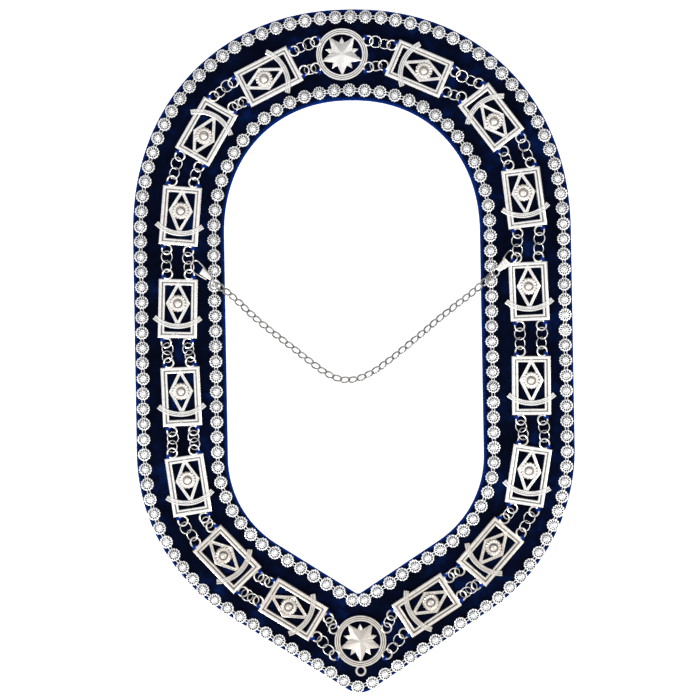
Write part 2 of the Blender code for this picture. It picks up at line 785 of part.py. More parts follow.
def loop_wire(side):
    """The wire loop, which passes over the ring's wire with one limb and under it with the other."""
    rise = HOOK_LEVEL - LUG_LEVEL
    points = [
        hook_point(
            side, bend.along * LOOP_LENGTH, bend.across * LOOP_HALF_WIDTH, LUG_LEVEL + bend.lift * rise)
        for bend in LOOP_PATH
    ]
    return wire_solid(points, HOOK_WIRE)


def make_hooks():
    for side, side_name in ((-1, "left"), (1, "right")):
        eye = torus_solid(HOOK_EYE_RADIUS, HOOK_EYE_WIRE, EYE_SIDES, WIRE_SIDES)
        eye.transform(Matrix.Translation(hook_point(side, HOOK_EYE_PLACE, 0, HOOK_LEVEL)))
        add_node(f"hook_{side_name}", fuse([sleeve_solid(side), loop_wire(side), eye]), "chain_silver")


def smooth_route(points, step):
    """A smooth curve through the points, with a point at about every step."""
    fine = []
    padded = [points[0] * 2 - points[1]] + points + [points[-1] * 2 - points[-2]]
    for before, start, end, after in zip(padded, padded[1:], padded[2:], padded[3:]):
        for i in range(CURVE_STEPS):
            t = i / CURVE_STEPS
            bend = (2 * before - 5 * start + 4 * end - after) * t * t
            twist = (3 * start - before - 3 * end + after) * t * t * t
            fine.append((2 * start + (end - before) * t + bend + twist) / 2)
    fine.append(points[-1])
    length = polyline_length(fine)
    count = round(length / step)
    return [point for point, _ in walk(fine, [length * i / count for i in range(count + 1)])]


def make_safety_chain():
    eye_edge = HOOK_EYE_PLACE + HOOK_EYE_RADIUS + HOOK_EYE_WIRE / 2 + SEAT_GAP
    ends = [hook_point(side, eye_edge, 0, HOOK_LEVEL) for side in (-1, 1)]
    lying = CHAIN_DIAMETER / 2
    laid = [
        Vector((stop.x * MM, stop.y * MM, lying + stop.lift * (HOOK_LEVEL - lying)))
        for stop in CHAIN_ROUTE
    ]
    route = smooth_route([ends[0]] + laid + [ends[1]], CHAIN_STEP)
    add_node("safety_chain", wire_solid(route, CHAIN_DIAMETER), "chain_silver")


clear_scene()
COLLAR = new_collection("chain_collar")
MATERIALS = make_materials()
TOP_PLACE, BOTTOM_PLACE = medallion_places()
LEFT_PLACES = plate_places(-1, LEFT_PLATES)
RIGHT_PLACES = plate_places(1, RIGHT_PLATES)
ROWS = ring_rows()

make_band()
make_plates()
make_medallions()
make_ring_rows()
make_trim("outer_trim", OUTER_TRIM_INSET)
make_trim("inner_trim", BAND_WIDTH - INNER_TRIM_INSET)
make_hooks()
make_safety_chain()
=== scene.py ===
"""How the chain collar looks: its dressed pieces, materials, light and camera.

Metres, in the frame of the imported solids: the collar lies on z = 0, its point towards -Y. Cast
pieces are placed from the solids themselves, and the rest from the sizes below.
"""

import math
import random
from collections import namedtuple

import bmesh
import bpy
import numpy as np
from mathutils import Matrix, Vector, noise


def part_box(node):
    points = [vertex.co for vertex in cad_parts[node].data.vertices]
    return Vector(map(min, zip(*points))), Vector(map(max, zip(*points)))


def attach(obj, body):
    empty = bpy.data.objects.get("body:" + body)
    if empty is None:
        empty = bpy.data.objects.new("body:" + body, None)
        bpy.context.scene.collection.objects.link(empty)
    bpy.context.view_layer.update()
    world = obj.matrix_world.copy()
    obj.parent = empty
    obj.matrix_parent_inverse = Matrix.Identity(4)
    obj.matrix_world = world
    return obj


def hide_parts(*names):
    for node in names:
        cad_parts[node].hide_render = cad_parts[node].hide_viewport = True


MM = 0.001

# Fits and steps
SEAT_GAP = 0.3 * MM
WELD_DISTANCE = 0.002 * MM
CURVE_STEPS = 12
WIRE_SIDES = 8

# Velvet band
HALF_WIDTH = 197 * MM
ARCH_RISE = 202.5 * MM
ARCH_POWER = 2.15
SIDE_LENGTH = 194 * MM
SHOULDER_RADIUS = 174 * MM
DIAGONAL_SLOPE = math.radians(32.8)
TIP_RADIUS = 20 * MM
INNER_TIP_SHARPNESS = 0.8
BAND_WIDTH = 82 * MM
DIAGONAL_BAND_WIDTH = 77.5 * MM
PUCKER = 0.5 * MM
PUCKER_SPAN = 26 * MM
CRUSH = 0.12 * MM
CRUSH_SPAN = 7 * MM
ACROSS_STEPS = 22
# Painted sheen on the velvet: how far in from each edge the bright blue reaches, and how it fades
RIM_SHEEN_REACH = 3.6 * MM
RIM_SHEEN_FADE = 0.7
FIBRE_INSET = 0.5 * MM
FIBRE_LEAN = 0.9
FIBRE_LIFT = 0.3 * MM
FIBRE_LENGTH = 1.1 * MM
FIBRE_WIDTH = 0.28 * MM
FIBRE_STEP = 0.42 * MM

# Cast plates
PLATE_WIDTH = 35.8 * MM
PLATE_LENGTH = 53.8 * MM
FRAME_WIDTH = 6.5 * MM
LOZENGE_BAR = 3.0 * MM
LOZENGE_HALF_WIDTH = 9.4 * MM
BOSS_RISE = 4.6 * MM
BOSS_RADIUS = 7.9 * MM
DOME_RADIUS = 3.3 * MM
DOME_BASE = 3.2 * MM
DOME_RISE = 1.35 * MM
DOME_STEPS = 7
BOSS_RAYS = 16
RAY_STEPS = 4
RAY_RELIEF = 0.22
SWAG_SPAN = 41.4 * MM
SWAG_SAG = 7.8 * MM
SWAG_DROP = 15.8 * MM
SWAG_WIDTH = 4.9 * MM
SWAG_STEPS = 28
SWAG_BEAD_HEIGHT = 3.35 * MM
LOZENGE_BEAD_HEIGHT = 2.3 * MM
BEAD_SIDES = 6
BEAD_RADIUS = 0.42 * MM
BEAD_STEP = 1.5 * MM

# Lugs and jump rings
LUG_RADIUS = 4.3 * MM
LUG_WIDTH = 1.4 * MM
LUG_WIRE = 1.8 * MM
LUG_SPACING = 19.6 * MM
LUG_REACH = 3.9 * MM
LUG_HEIGHT = 3.09 * MM
LUG_STEPS = 32
RING_STEPS = 40
RING_RADIUS = 5.25 * MM
RING_WIRE = 1.0 * MM
RING_WIRE_SEEN = 1.15 * MM
RING_CLEARANCE = 0.35 * MM
RING_TILT = math.radians(29.5)
LUG_BITE = 1.95 * MM
PAIR_BITE = 0.9 * MM
RING_STRAY = 0.9 * MM
HOOK_GAP = 3
THREAD_WIDTH = 0.8 * MM
THREAD_SIDES = 6
THREAD_STRAY = 0.1 * MM
STITCH_TURNS = 4
STITCH_STEPS = 10
STITCH_SPACING = 0.85
STITCH_SINK = 0.3 * MM
STITCH_REACH = 1.9 * MM
STITCH_ANGLE = math.radians(32)

# Medallions
MEDALLION_RADIUS = 23.4 * MM
MEDALLION_RIM = 5.6 * MM
STAR_POINTS = 5
STAR_BITE = 1.4 * MM
STAR_WAIST = 0.48
SMALL_STAR_SHARE = 0.81
STAR_BASE = 0.3 * MM
STAR_EDGE = 2.3 * MM
STAR_RIDGE = 3.9 * MM
SMALL_STAR_EDGE = 1.6 * MM
SMALL_STAR_RIDGE = 2.6 * MM
STAR_TIP_RISE = 0.35 * MM
STAR_CROWN_SHARE = 0.3
STAR_CROWN_DROP = 0.25 * MM
STAR_PLEATS = 6
PLEAT_DEPTH = 0.16 * MM
RIM_STEPS = 96
MEDALLION_LUG_ANGLE = math.radians(26.5)
MEDALLION_LUG_RADIUS = 26.4 * MM
PENDANT_EYE_RADIUS = 4.0 * MM
PENDANT_EYE_WIRE = 2.5 * MM
PENDANT_EYE_HEIGHT = 1.3 * MM
PENDANT_EYE_SIDES = 10

# Rhinestone trims
CUP_RADIUS = 6.15 * MM
CUP_PITCH = 13.6 * MM
CUP_LOBES = 13
LOBE_STEPS = 4
SCALLOP_DEPTH = 0.11
SCALLOP_DIP = 0.25
SLOT_DEPTH = 1.5 * MM
STONE_RADIUS = 2.3 * MM
BRIDGE_SPREAD = 1.2 * MM
BRIDGE_WIRE = 0.95 * MM
BRIDGE_HEIGHT = 1.5 * MM
BRIDGE_BITE = 0.7 * MM
BRIDGE_SIDES = 6
CUP_STRAY = 0.25 * MM
CUP_LEAN = 0.09
OUTER_TRIM_INSET = 6.2 * MM
INNER_TRIM_INSET = 8.0 * MM
# Hand sewing: the cups lie further from the edge down the sides than along the diagonals
DIAGONAL_STRAY = -0.8 * MM
SIDE_STRAY = 1.1 * MM
STRAY_START = -200 * MM
STRAY_SPAN = 90 * MM

# Safety chain and hooks
LINK_LENGTH = 10.0 * MM
LINK_WIDTH = 6.6 * MM
LINK_WIRE = 1.7 * MM
LINK_PITCH = 7.45 * MM
LINK_TWIST = math.radians(38)
LINK_ROLL = math.radians(14)
LINK_YAW = math.radians(-9)
LINK_SWAY = math.radians(14)
LINK_BULGE = 0.12
LINK_STEPS = 28
ROUTE_STEP = 1.5 * MM
CHAIN_LYING = 2.6 * MM
HOOK_LEVEL = 10.4 * MM
HOOK_HEADINGS = {-1: math.radians(33.5), 1: math.radians(43.8)}
HOOK_WIRE = 1.15 * MM
HOOK_STEP = 0.7 * MM
HOOK_EYE_STEPS = 28
SLEEVE_THICKNESS = 2.2 * MM
HOOK_EYE_PLACE = 28.4 * MM
HOOK_EYE_RADIUS = 3.4 * MM
HOOK_EYE_WIRE = 1.25 * MM

# Route of the safety chain, as in the solids: x and y in mm, and lift as the share of the height
# from lying on the surface up to the hooks
Stop = namedtuple("Stop", ["x", "y", "lift"])
CHAIN_ROUTE = (
    Stop(-112.2, 54.6, 0.78),
    Stop(-106.2, 49.0, 0.36),
    Stop(-99.6, 42.6, 0.08),
    Stop(-91.2, 34.2, 0.0),
    Stop(-80.6, 24.6, 0.0),
    Stop(-69.9, 15.8, 0.0),
    Stop(-54.0, 3.2, 0.0),
    Stop(-38.0, -9.9, 0.0),
    Stop(-27.3, -18.0, 0.0),
    Stop(-16.6, -23.8, 0.0),
    Stop(-5.9, -25.9, 0.0),
    Stop(5.0, -24.3, 0.0),
    Stop(15.9, -19.5, 0.0),
    Stop(26.8, -12.4, 0.0),
    Stop(43.2, 0.0, 0.0),
    Stop(59.7, 13.4, 0.0),
    Stop(76.0, 26.9, 0.0),
    Stop(92.5, 39.6, 0.0),
    Stop(100.4, 45.4, 0.08),
    Stop(107.0, 50.6, 0.40),
    Stop(113.6, 56.2, 0.84),
)

# The hooks' wire loops, by side: along and across in mm from the held ring's middle, towards the
# opening and towards the collar's top, and lift as the share of the height up to the sleeve
Bend = namedtuple("Bend", ["along", "across", "lift"])
LOOP_PATHS = {
    -1: (
        Bend(15.5, 5.4, 1.0),
        Bend(12.6, 6.8, 1.0),
        Bend(8.8, 8.0, 0.95),
        Bend(4.3, 8.9, 0.88),
        Bend(2.2, 8.4, 0.84),
        Bend(0.9, 6.5, 0.80),
        Bend(0.6, 3.6, 0.66),
        Bend(1.6, 1.1, 0.42),
        Bend(4.0, -0.9, 0.24),
        Bend(6.9, -1.4, 0.36),
        Bend(10.6, -1.4, 0.75),
        Bend(15.4, -1.2, 0.95),
        Bend(19.6, -0.9, 1.0),
    ),
    1: (
        Bend(15.5, 3.2, 1.0),
        Bend(12.7, 4.1, 0.95),
        Bend(9.5, 4.8, 0.70),
        Bend(5.8, 4.7, 0.32),
        Bend(4.3, 3.7, 0.22),
        Bend(4.3, 1.0, 0.26),
        Bend(4.0, -1.8, 0.48),
        Bend(4.5, -3.8, 0.66),
        Bend(5.9, -5.0, 0.78),
        Bend(9.9, -5.4, 0.92),
        Bend(14.6, -4.5, 1.0),
        Bend(20.8, -3.2, 1.0),
    ),
}

# The hooks' pressed sleeves, by side: the middle line from the wide end to the narrow one, with the
# width there, all in mm
Section = namedtuple("Section", ["along", "across", "width"])
SLEEVES = {
    -1: (Section(11.6, 3.6, 7.2), Section(17.5, 2.8, 5.6), Section(22.8, 1.9, 3.4)),
    1: (Section(13.5, -0.4, 8.2), Section(19.5, -0.3, 6.8), Section(24.9, -0.2, 5.2)),
}

# Photograph: metres per pixel of the surface, and the view's middle
PIXEL = 0.9 * MM
IMAGE_PIXELS = 700
VIEW_CENTRE = Vector((-3.6, 1.0, 0)) * MM
VIEW_ROLL = math.radians(-1.0)
LENS = 90
SENSOR = 36


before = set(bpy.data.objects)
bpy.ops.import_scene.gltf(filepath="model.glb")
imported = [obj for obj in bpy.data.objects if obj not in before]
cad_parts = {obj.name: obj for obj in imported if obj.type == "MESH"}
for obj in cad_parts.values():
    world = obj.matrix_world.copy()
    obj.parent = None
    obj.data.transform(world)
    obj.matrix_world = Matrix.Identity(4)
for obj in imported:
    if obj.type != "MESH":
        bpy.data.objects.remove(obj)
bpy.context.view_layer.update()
BAND_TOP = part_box("velvet_band")[1].z
SEAT_LEVEL = BAND_TOP + SEAT_GAP
LUG_LEVEL = SEAT_LEVEL + LUG_HEIGHT
PLATE_COUNT = sum(1 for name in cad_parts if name.startswith("plate_left_"))
PLATE_REACH = PLATE_LENGTH / 2 + LUG_REACH
RANDOM = random.Random(7)


# Materials

def new_material(name):
    material = bpy.data.materials.new(name)
    material.use_nodes = True
    tree = material.node_tree
    return material, tree, tree.nodes["Principled BSDF"]


def add_noise(tree, scale, detail=4.0, roughness=0.6):
    """A noise texture over the object's own coordinates."""
    place = tree.nodes.new("ShaderNodeTexCoord")
    texture = tree.nodes.new("ShaderNodeTexNoise")
    texture.inputs["Scale"].default_value = scale
    texture.inputs["Detail"].default_value = detail
    texture.inputs["Roughness"].default_value = roughness
    tree.links.new(place.outputs["Object"], texture.inputs["Vector"])
    return texture


def add_ramp(tree, factor, stops):
    """A colour ramp from (position, colour) stops."""
    ramp = tree.nodes.new("ShaderNodeValToRGB")
    elements = ramp.color_ramp.elements
    while len(elements) < len(stops):
        elements.new(0.5)
    for element, (position, colour) in zip(elements, stops):
        element.position = position
        element.color = (*colour, 1.0)
    tree.links.new(factor, ramp.inputs["Fac"])
    return ramp.outputs["Color"]


def add_bump(tree, shader, height, strength, distance):
    bump = tree.nodes.new("ShaderNodeBump")
    bump.inputs["Strength"].default_value = strength
    bump.inputs["Distance"].default_value = distance
    tree.links.new(height, bump.inputs["Height"])
    tree.links.new(bump.outputs["Normal"], shader.inputs["Normal"])


def silver(tone):
    """Silver plate: its tone and polish vary in soft patches, over a finely grained casting."""
    material, tree, shader = new_material(tone.name)
    shader.inputs["Metallic"].default_value = 1.0
    patches = add_noise(tree, tone.patches, 5.0, 0.65)
    colour = add_ramp(tree, patches.outputs["Fac"], [(0.30, tone.dull), (0.52, tone.bright)])
    tree.links.new(colour, shader.inputs["Base Color"])
    polish = tree.nodes.new("ShaderNodeMapRange")
    polish.inputs["To Min"].default_value = tone.roughness * 1.35
    polish.inputs["To Max"].default_value = tone.roughness * 0.75
    tree.links.new(patches.outputs["Fac"], polish.inputs["Value"])
    tree.links.new(polish.outputs["Result"], shader.inputs["Roughness"])
    pits = add_noise(tree, 2400, 3.0, 0.7)
    add_bump(tree, shader, pits.outputs["Fac"], tone.grain, 0.10 * MM)
    return material


def velvet(name):
    """Cut pile: nearly black, blue in soft random patches, with a painted bright blue sheen where it turns
    over an edge.
    """
    material, tree, shader = new_material(name)
    # The 'edge' colour layer marks where the painted blue sheen lies along the rims
    edge = tree.nodes.new("ShaderNodeVertexColor")
    edge.layer_name = "edge"
    patches = add_noise(tree, 30, 7.0, 0.68)
    blue_patches = add_ramp(tree, patches.outputs["Fac"], [
        (0.38, (0.0012, 0.0020, 0.0075)), (0.54, (0.0014, 0.0036, 0.018)),
        (0.70, (0.0018, 0.0130, 0.085)),
    ])
    # Painted sheen: bright blue where the pile turns over the band's edges, mixed in by the 'edge' layer
    rim_sheen_speckle = add_noise(tree, 420, 3.0, 0.7)
    rim = add_ramp(
        tree, rim_sheen_speckle.outputs["Fac"], [(0.35, (0.001, 0.016, 0.14)), (0.65, (0.003, 0.045, 0.34))])
    mix = tree.nodes.new("ShaderNodeMix")
    mix.data_type = "RGBA"
    tree.links.new(edge.outputs["Color"], mix.inputs["Factor"])
    tree.links.new(blue_patches, mix.inputs["A"])
    tree.links.new(rim, mix.inputs["B"])
    tree.links.new(mix.outputs["Result"], shader.inputs["Base Color"])
    shader.inputs["Roughness"].default_value = 1.0
    shader.inputs["Specular IOR Level"].default_value = 0.03
    shader.inputs["Sheen Weight"].default_value = 0.16
    shader.inputs["Sheen Roughness"].default_value = 0.3
    shader.inputs["Sheen Tint"].default_value = (0.02, 0.12, 0.75, 1.0)
    pile = add_noise(tree, 1500, 4.0, 0.8)
    add_bump(tree, shader, pile.outputs["Fac"], 0.6, 0.5 * MM)
    return material


def crystal(name):
    """Cut glass over foil: bright, sharp and slightly cloudy between facets."""
    material, tree, shader = new_material(name)
    cloud = add_noise(tree, 900, 3.0, 0.6)
    colour = add_ramp(
        tree, cloud.outputs["Fac"], [(0.30, (0.80, 0.82, 0.86)), (0.50, (0.98, 0.98, 1.0))])
    tree.links.new(colour, shader.inputs["Base Color"])
    shader.inputs["Metallic"].default_value = 0.85
    shader.inputs["Roughness"].default_value = 0.08
    shader.inputs["IOR"].default_value = 1.6
    shader.inputs["Coat Weight"].default_value = 1.0
    shader.inputs["Coat Roughness"].default_value = 0.03
    return material


def thread(name, colour):
    material, tree, shader = new_material(name)
    strands = add_noise(tree, 1800, 2.0, 0.5)
    pale = tuple(min(1.0, 1.8 * share) for share in colour)
    tone = add_ramp(tree, strands.outputs["Fac"], [(0.35, colour), (0.65, pale)])
    tree.links.new(tone, shader.inputs["Base Color"])
    shader.inputs["Roughness"].default_value = 0.8
    shader.inputs["Specular IOR Level"].default_value = 0.12
    add_bump(tree, shader, strands.outputs["Fac"], 0.5, 0.1 * MM)
    return material


# Silver tones: colours where the plate is bright and dull, roughness, strength of the fine grain, and
# how many patches of tone there are to a metre
Tone = namedtuple("Tone", ["name", "bright", "dull", "roughness", "grain", "patches"])
TONES = {
    "cast": Tone("cast_silver", (0.92, 0.905, 0.885), (0.78, 0.76, 0.73), 0.24, 0.22, 260),
    "cast_warm": Tone("cast_silver_warm", (0.74, 0.70, 0.645), (0.52, 0.48, 0.43), 0.27, 0.28, 260),
    "boss": Tone("boss_silver", (0.90, 0.85, 0.80), (0.78, 0.72, 0.66), 0.24, 0.20, 260),
    "boss_warm": Tone("boss_silver_warm", (0.70, 0.64, 0.58), (0.50, 0.45, 0.40), 0.22, 0.20, 260),
    # Painted shade: a dark silver laid on the grooves' floors in place of the shade there
    "groove": Tone("groove_painted_shade", (0.26, 0.25, 0.24), (0.15, 0.145, 0.14), 0.45, 0.20, 260),
    "star": Tone("star_silver", (0.90, 0.88, 0.85), (0.56, 0.54, 0.52), 0.32, 0.70, 1100),
    "star_warm": Tone("star_silver_warm", (0.58, 0.54, 0.49), (0.36, 0.33, 0.30), 0.34, 0.70, 1100),
    "ring": Tone("ring_silver", (0.93, 0.91, 0.88), (0.74, 0.71, 0.68), 0.20, 0.12, 260),
    "cup": Tone("cup_silver", (0.97, 0.97, 0.97), (0.84, 0.84, 0.85), 0.22, 0.18, 260),
    "slot": Tone("slot_shadow", (0.07, 0.07, 0.08), (0.02, 0.02, 0.03), 0.60, 0.20, 260),
    "chain": Tone("chain_silver", (0.34, 0.33, 0.315), (0.16, 0.15, 0.145), 0.26, 0.15, 260),
}
MATERIALS = {key: silver(tone) for key, tone in TONES.items()}
MATERIALS["velvet"] = velvet("velvet")
MATERIALS["stone"] = crystal("rhinestone")
MATERIALS["thread"] = thread("blue_thread", (0.001, 0.022, 0.19))


# Meshes

def finish_mesh(name, work, materials, sharp=35):
    """A mesh from a bmesh, smooth but for edges sharper than the angle in degrees."""
    bmesh.ops.remove_doubles(work, verts=work.verts, dist=WELD_DISTANCE)
    bmesh.ops.recalc_face_normals(work, faces=work.faces)
    mesh = bpy.data.meshes.new(name)
    work.to_mesh(mesh)
    work.free()
    for key in materials:
        mesh.materials.append(MATERIALS[key])
    mesh.shade_smooth()
    mesh.set_sharp_from_angle(angle=math.radians(sharp))
    return mesh


def add_piece(name, mesh, nodes=(), matrix=Matrix()):
    """A piece of the collar, in place of the named solids."""
    piece = bpy.data.objects.new(name, mesh)
    bpy.context.scene.collection.objects.link(piece)
    piece.matrix_world = matrix
    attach(piece, "root")
    if nodes:
        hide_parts(*nodes)
    return piece


def bridge(work, rings, closed=True, material=0):
    """Faces between rings of points; closed joins the last ring to the first."""
    made = [[work.verts.new(point) for point in ring] for ring in rings]
    pairs = list(zip(made, made[1:])) + ([(made[-1], made[0])] if closed else [])
    for below, above in pairs:
        for i in range(len(below)):
            j = (i + 1) % len(below)
            face = work.faces.new((below[i], below[j], above[j], above[i]))
            face.material_index = material
    return made


def tube(work, path, wire, sides=WIRE_SIDES, closed=False):
    """A round wire along a path of points, its sides kept from twisting."""
    count = len(path)
    rings = []
    up = Vector((0, 0, 1))
    for i, point in enumerate(path):
        before = path[i - 1] if closed or i else path[i]
        after = path[(i + 1) % count] if closed or i < count - 1 else path[i]
        along = (after - before).normalized()
        side = along.cross(up)
        side = side.normalized() if side.length > 1e-6 else Vector((1, 0, 0))
        up = side.cross(along).normalized()
        turns = [2 * math.pi * k / sides for k in range(sides)]
        rings.append([point + (side * math.cos(t) + up * math.sin(t)) * wire / 2 for t in turns])
    made = bridge(work, rings, closed)
    if not closed:
        for ring in (made[0], made[-1]):
            work.faces.new(ring)


def circle(radius, count, centre=Vector(), matrix=Matrix()):
    return [
        centre + matrix @ Vector((radius * math.cos(t), radius * math.sin(t), 0))
        for t in (2 * math.pi * i / count for i in range(count))
    ]


def smooth_route(points, step):
    """A smooth curve through the points, with a point at about every step."""
    fine = []
    padded = [points[0] * 2 - points[1]] + points + [points[-1] * 2 - points[-2]]
    for before, start, end, after in zip(padded, padded[1:], padded[2:], padded[3:]):
        for i in range(CURVE_STEPS):
            t = i / CURVE_STEPS
            bend = (2 * before - 5 * start + 4 * end - after) * t * t
            twist = (3 * start - before - 3 * end + after) * t * t * t
            fine.append((2 * start + (end - before) * t + bend + twist) / 2)
    fine.append(points[-1])
    length = sum((b - a).length for a, b in zip(fine, fine[1:]))
    count = round(length / step)
    return [point for point, _ in walk(fine, [length * i / count for i in range(count + 1)])]


def walk(points, distances):
    """Points at the given distances along a polyline, each with the direction of travel."""
    found = []
    travelled = 0.0
    index = 0
    for distance in distances:
        step = points[index + 1] - points[index]
        while index < len(points) - 2 and travelled + step.length < distance:
            travelled += step.length
            index += 1
            step = points[index + 1] - points[index]
        heading = step.normalized()
        found.append((points[index] + heading * (distance - travelled), heading))
    return found


# The band's outline

def sharp_tip(inset):
    corner = HALF_WIDTH - SHOULDER_RADIUS
    drop = (SHOULDER_RADIUS + math.sin(DIAGONAL_SLOPE) * corner) / math.cos(DIAGONAL_SLOPE)
    outer = -SIDE_LENGTH - drop
    return outer + inset / BAND_WIDTH * DIAGONAL_BAND_WIDTH / math.cos(DIAGONAL_SLOPE)


def tip_radius(inset):
    return TIP_RADIUS * (1 - INNER_TIP_SHARPNESS * inset / BAND_WIDTH)


def lowest_point(inset):
    return sharp_tip(inset) + tip_radius(inset) * (1 / math.cos(DIAGONAL_SLOPE) - 1)


ARCH_CENTRE = Vector((0, -(ARCH_RISE + lowest_point(0)) / 2, 0))


def arc_points(centre, radius, start, end, steps):
    return [
        centre + Vector((radius * math.cos(t), radius * math.sin(t), 0))
        for t in (start + (end - start) * i / steps for i in range(steps + 1))
    ]


def half_outline(inset, arch=60, side=36, shoulder=30, diagonal=36, tip=8):
    """Right half of the band's outline, moved inwards by inset, from the top's middle to the tip."""
    width, rise, radius = HALF_WIDTH - inset, ARCH_RISE - inset, SHOULDER_RADIUS - inset
    corner = HALF_WIDTH - SHOULDER_RADIUS
    corner_drop = (radius + math.sin(DIAGONAL_SLOPE) * corner) / math.cos(DIAGONAL_SLOPE)
    bend = math.pi / 2 - DIAGONAL_SLOPE
    points = []
    for i in range(arch + 1):
        angle = math.pi / 2 * (1 - i / arch)
        across = width * abs(math.cos(angle)) ** (2 / ARCH_POWER) if i else 0.0
        points.append(Vector((across, rise * abs(math.sin(angle)) ** (2 / ARCH_POWER), 0)))
    shoulder_centre = Vector((corner, sharp_tip(inset) + corner_drop, 0))
    round_shoulder = arc_points(shoulder_centre, radius, 0, -bend, shoulder)
    tip_centre = Vector((0, sharp_tip(inset) + tip_radius(inset) / math.cos(DIAGONAL_SLOPE), 0))
    round_tip = arc_points(tip_centre, tip_radius(inset), -bend, -math.pi / 2, tip)
    round_tip[-1].x = 0.0
    points += [points[-1].lerp(round_shoulder[0], (i + 1) / side) for i in range(side - 1)]
    points += round_shoulder
    points += [round_shoulder[-1].lerp(round_tip[0], (i + 1) / diagonal) for i in range(diagonal - 1)]
    points += round_tip
    return [ARCH_CENTRE + point for point in points]


def whole_outline(inset):
    half = half_outline(inset)
    return half + [Vector((-point.x, point.y, 0)) for point in reversed(half[1:-1])]


# Velvet band

def band_height(point):
    """Height of the pile, puckered softly by the sewing and finely crushed."""
    soft = noise.noise(Vector((point.x, point.y, 0)) / PUCKER_SPAN)
    fine = noise.noise(Vector((point.x, point.y, 1)) / CRUSH_SPAN)
    return BAND_TOP - PUCKER * (0.5 - 0.5 * soft) - CRUSH * (0.5 + 0.5 * fine)


# The band's section from its underside over its edge: inset in mm, and height as a share of the band's
EDGE_PROFILE = [(1.2, 0.0), (0.3, 0.12), (0.0, 0.45), (0.25, 0.72), (0.8, 0.92), (2.0, 1.0), (3.6, 1.0)]


def make_band():
    reach = EDGE_PROFILE[-1][0]
    flat = BAND_WIDTH / MM - 2 * reach
    stations = [(inset * MM, height) for inset, height in EDGE_PROFILE]
    stations += [((reach + flat * i / ACROSS_STEPS) * MM, 1.0) for i in range(1, ACROSS_STEPS)]
    stations += [(BAND_WIDTH - inset * MM, height) for inset, height in reversed(EDGE_PROFILE)]
    work = bmesh.new()
    edge = work.loops.layers.color.new("edge")
    rings = []
    sheen_shares = {}
    for inset, height in stations:
        outline = whole_outline(inset)
        rings.append([Vector((point.x, point.y, band_height(point) * height)) for point in outline])
    made = bridge(work, rings, closed=True)
    # Each point's share of the painted rim sheen, from its nearness to an edge
    for ring, (inset, _) in zip(made, stations):
        nearness = min(inset, BAND_WIDTH - inset)
        for vert in ring:
            sheen_shares[vert] = max(0.0, 1 - nearness / RIM_SHEEN_REACH) ** RIM_SHEEN_FADE
    for face in work.faces:
        for loop in face.loops:
            share = sheen_shares[loop.vert]
            loop[edge] = (share, share, share, 1.0)
    mesh = finish_mesh("velvet_pile", work, ["velvet"], 60)
    piece = add_piece("velvet_pile", mesh, ["velvet_band"])


def make_fibres():
    """Short pile standing out of both edges of the velvet."""
    work = bmesh.new()
    edge = work.loops.layers.color.new("edge")
    for inset, sign in ((FIBRE_INSET, 1), (BAND_WIDTH - FIBRE_INSET, -1)):
        outline = whole_outline(inset)
        outline.append(outline[0])
        length = sum((b - a).length for a, b in zip(outline, outline[1:]))
        places = [RANDOM.uniform(0, length) for _ in range(round(length / FIBRE_STEP))]
        for point, travel in walk(outline, sorted(places)):
            outwards = Vector((-travel.y, travel.x, 0)) * sign
            root = point + Vector((0, 0, RANDOM.uniform(0.2, 0.85) * BAND_TOP))
            lean = Matrix.Rotation(RANDOM.uniform(-FIBRE_LEAN, FIBRE_LEAN), 3, "Z") @ outwards
            reach = FIBRE_LENGTH * RANDOM.uniform(0.5, 1.0)
            tip = root + lean * reach + Vector((0, 0, RANDOM.uniform(-FIBRE_LIFT, FIBRE_LIFT)))
            corners = [
                work.verts.new(root - travel * FIBRE_WIDTH / 2),
                work.verts.new(root + travel * FIBRE_WIDTH / 2),
                work.verts.new(tip),
            ]
            # The fibres take the full painted rim sheen
            for loop in work.faces.new(corners).loops:
                loop[edge] = (1.0, 1.0, 1.0, 1.0)
    mesh = bpy.data.meshes.new("velvet_fibres")
    work.to_mesh(mesh)
    work.free()
    mesh.materials.append(MATERIALS["velvet"])
    add_piece("velvet_fibres", mesh)


# Cast pieces

def seat_of(node):
    """Where a plate lies, read from its solid: its middle, its long axis and the boss's end."""
    places = sorted({(round(v.co.x, 6), round(v.co.y, 6), round(v.co.z, 6))
                     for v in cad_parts[node].data.vertices})
    points = np.array(places)
    flat = points[:, :2] - points[:, :2].mean(axis=0)
    _, axes = np.linalg.eigh(flat.T @ flat)
    along = axes[:, 1]
    reach = flat @ along
    across = flat @ np.array((along[1], -along[0]))
    middle = points[:, :2].mean(axis=0) + along * (reach.max() + reach.min()) / 2
    middle = middle + np.array((along[1], -along[0])) * (across.max() + across.min()) / 2
    boss = points[points[:, 2] > points[:, 2].max() - 0.1 * MM][:, :2].mean(axis=0)
    if (boss - middle) @ along < 0:
        along = -along
    turn = math.atan2(-along[0], along[1])
    return Matrix.Translation((middle[0], middle[1], SEAT_LEVEL)) @ Matrix.Rotation(turn, 4, "Z")


def inset_corners(corners, inset):
    """Corners of a convex polygon whose sides have all moved inwards."""
    moved = []
    for i, corner in enumerate(corners):
        before = (corner - corners[i - 1]).normalized()
        after = (corners[(i + 1) % len(corners)] - corner).normalized()
        inwards = Vector((-before.y - after.y, before.x + after.x, 0))
        moved.append(corner + inwards * inset / (1 + before.dot(after)))
    return moved


def mitred(work, corners, profile):
    """A bar of the profile (inset, up) round a convex polygon, mitred at its corners."""
    rings = [
        [corner + Vector((0, 0, up * MM)) for corner in inset_corners(corners, inset * MM)]
        for inset, up in profile
    ]
    bridge(work, rings)


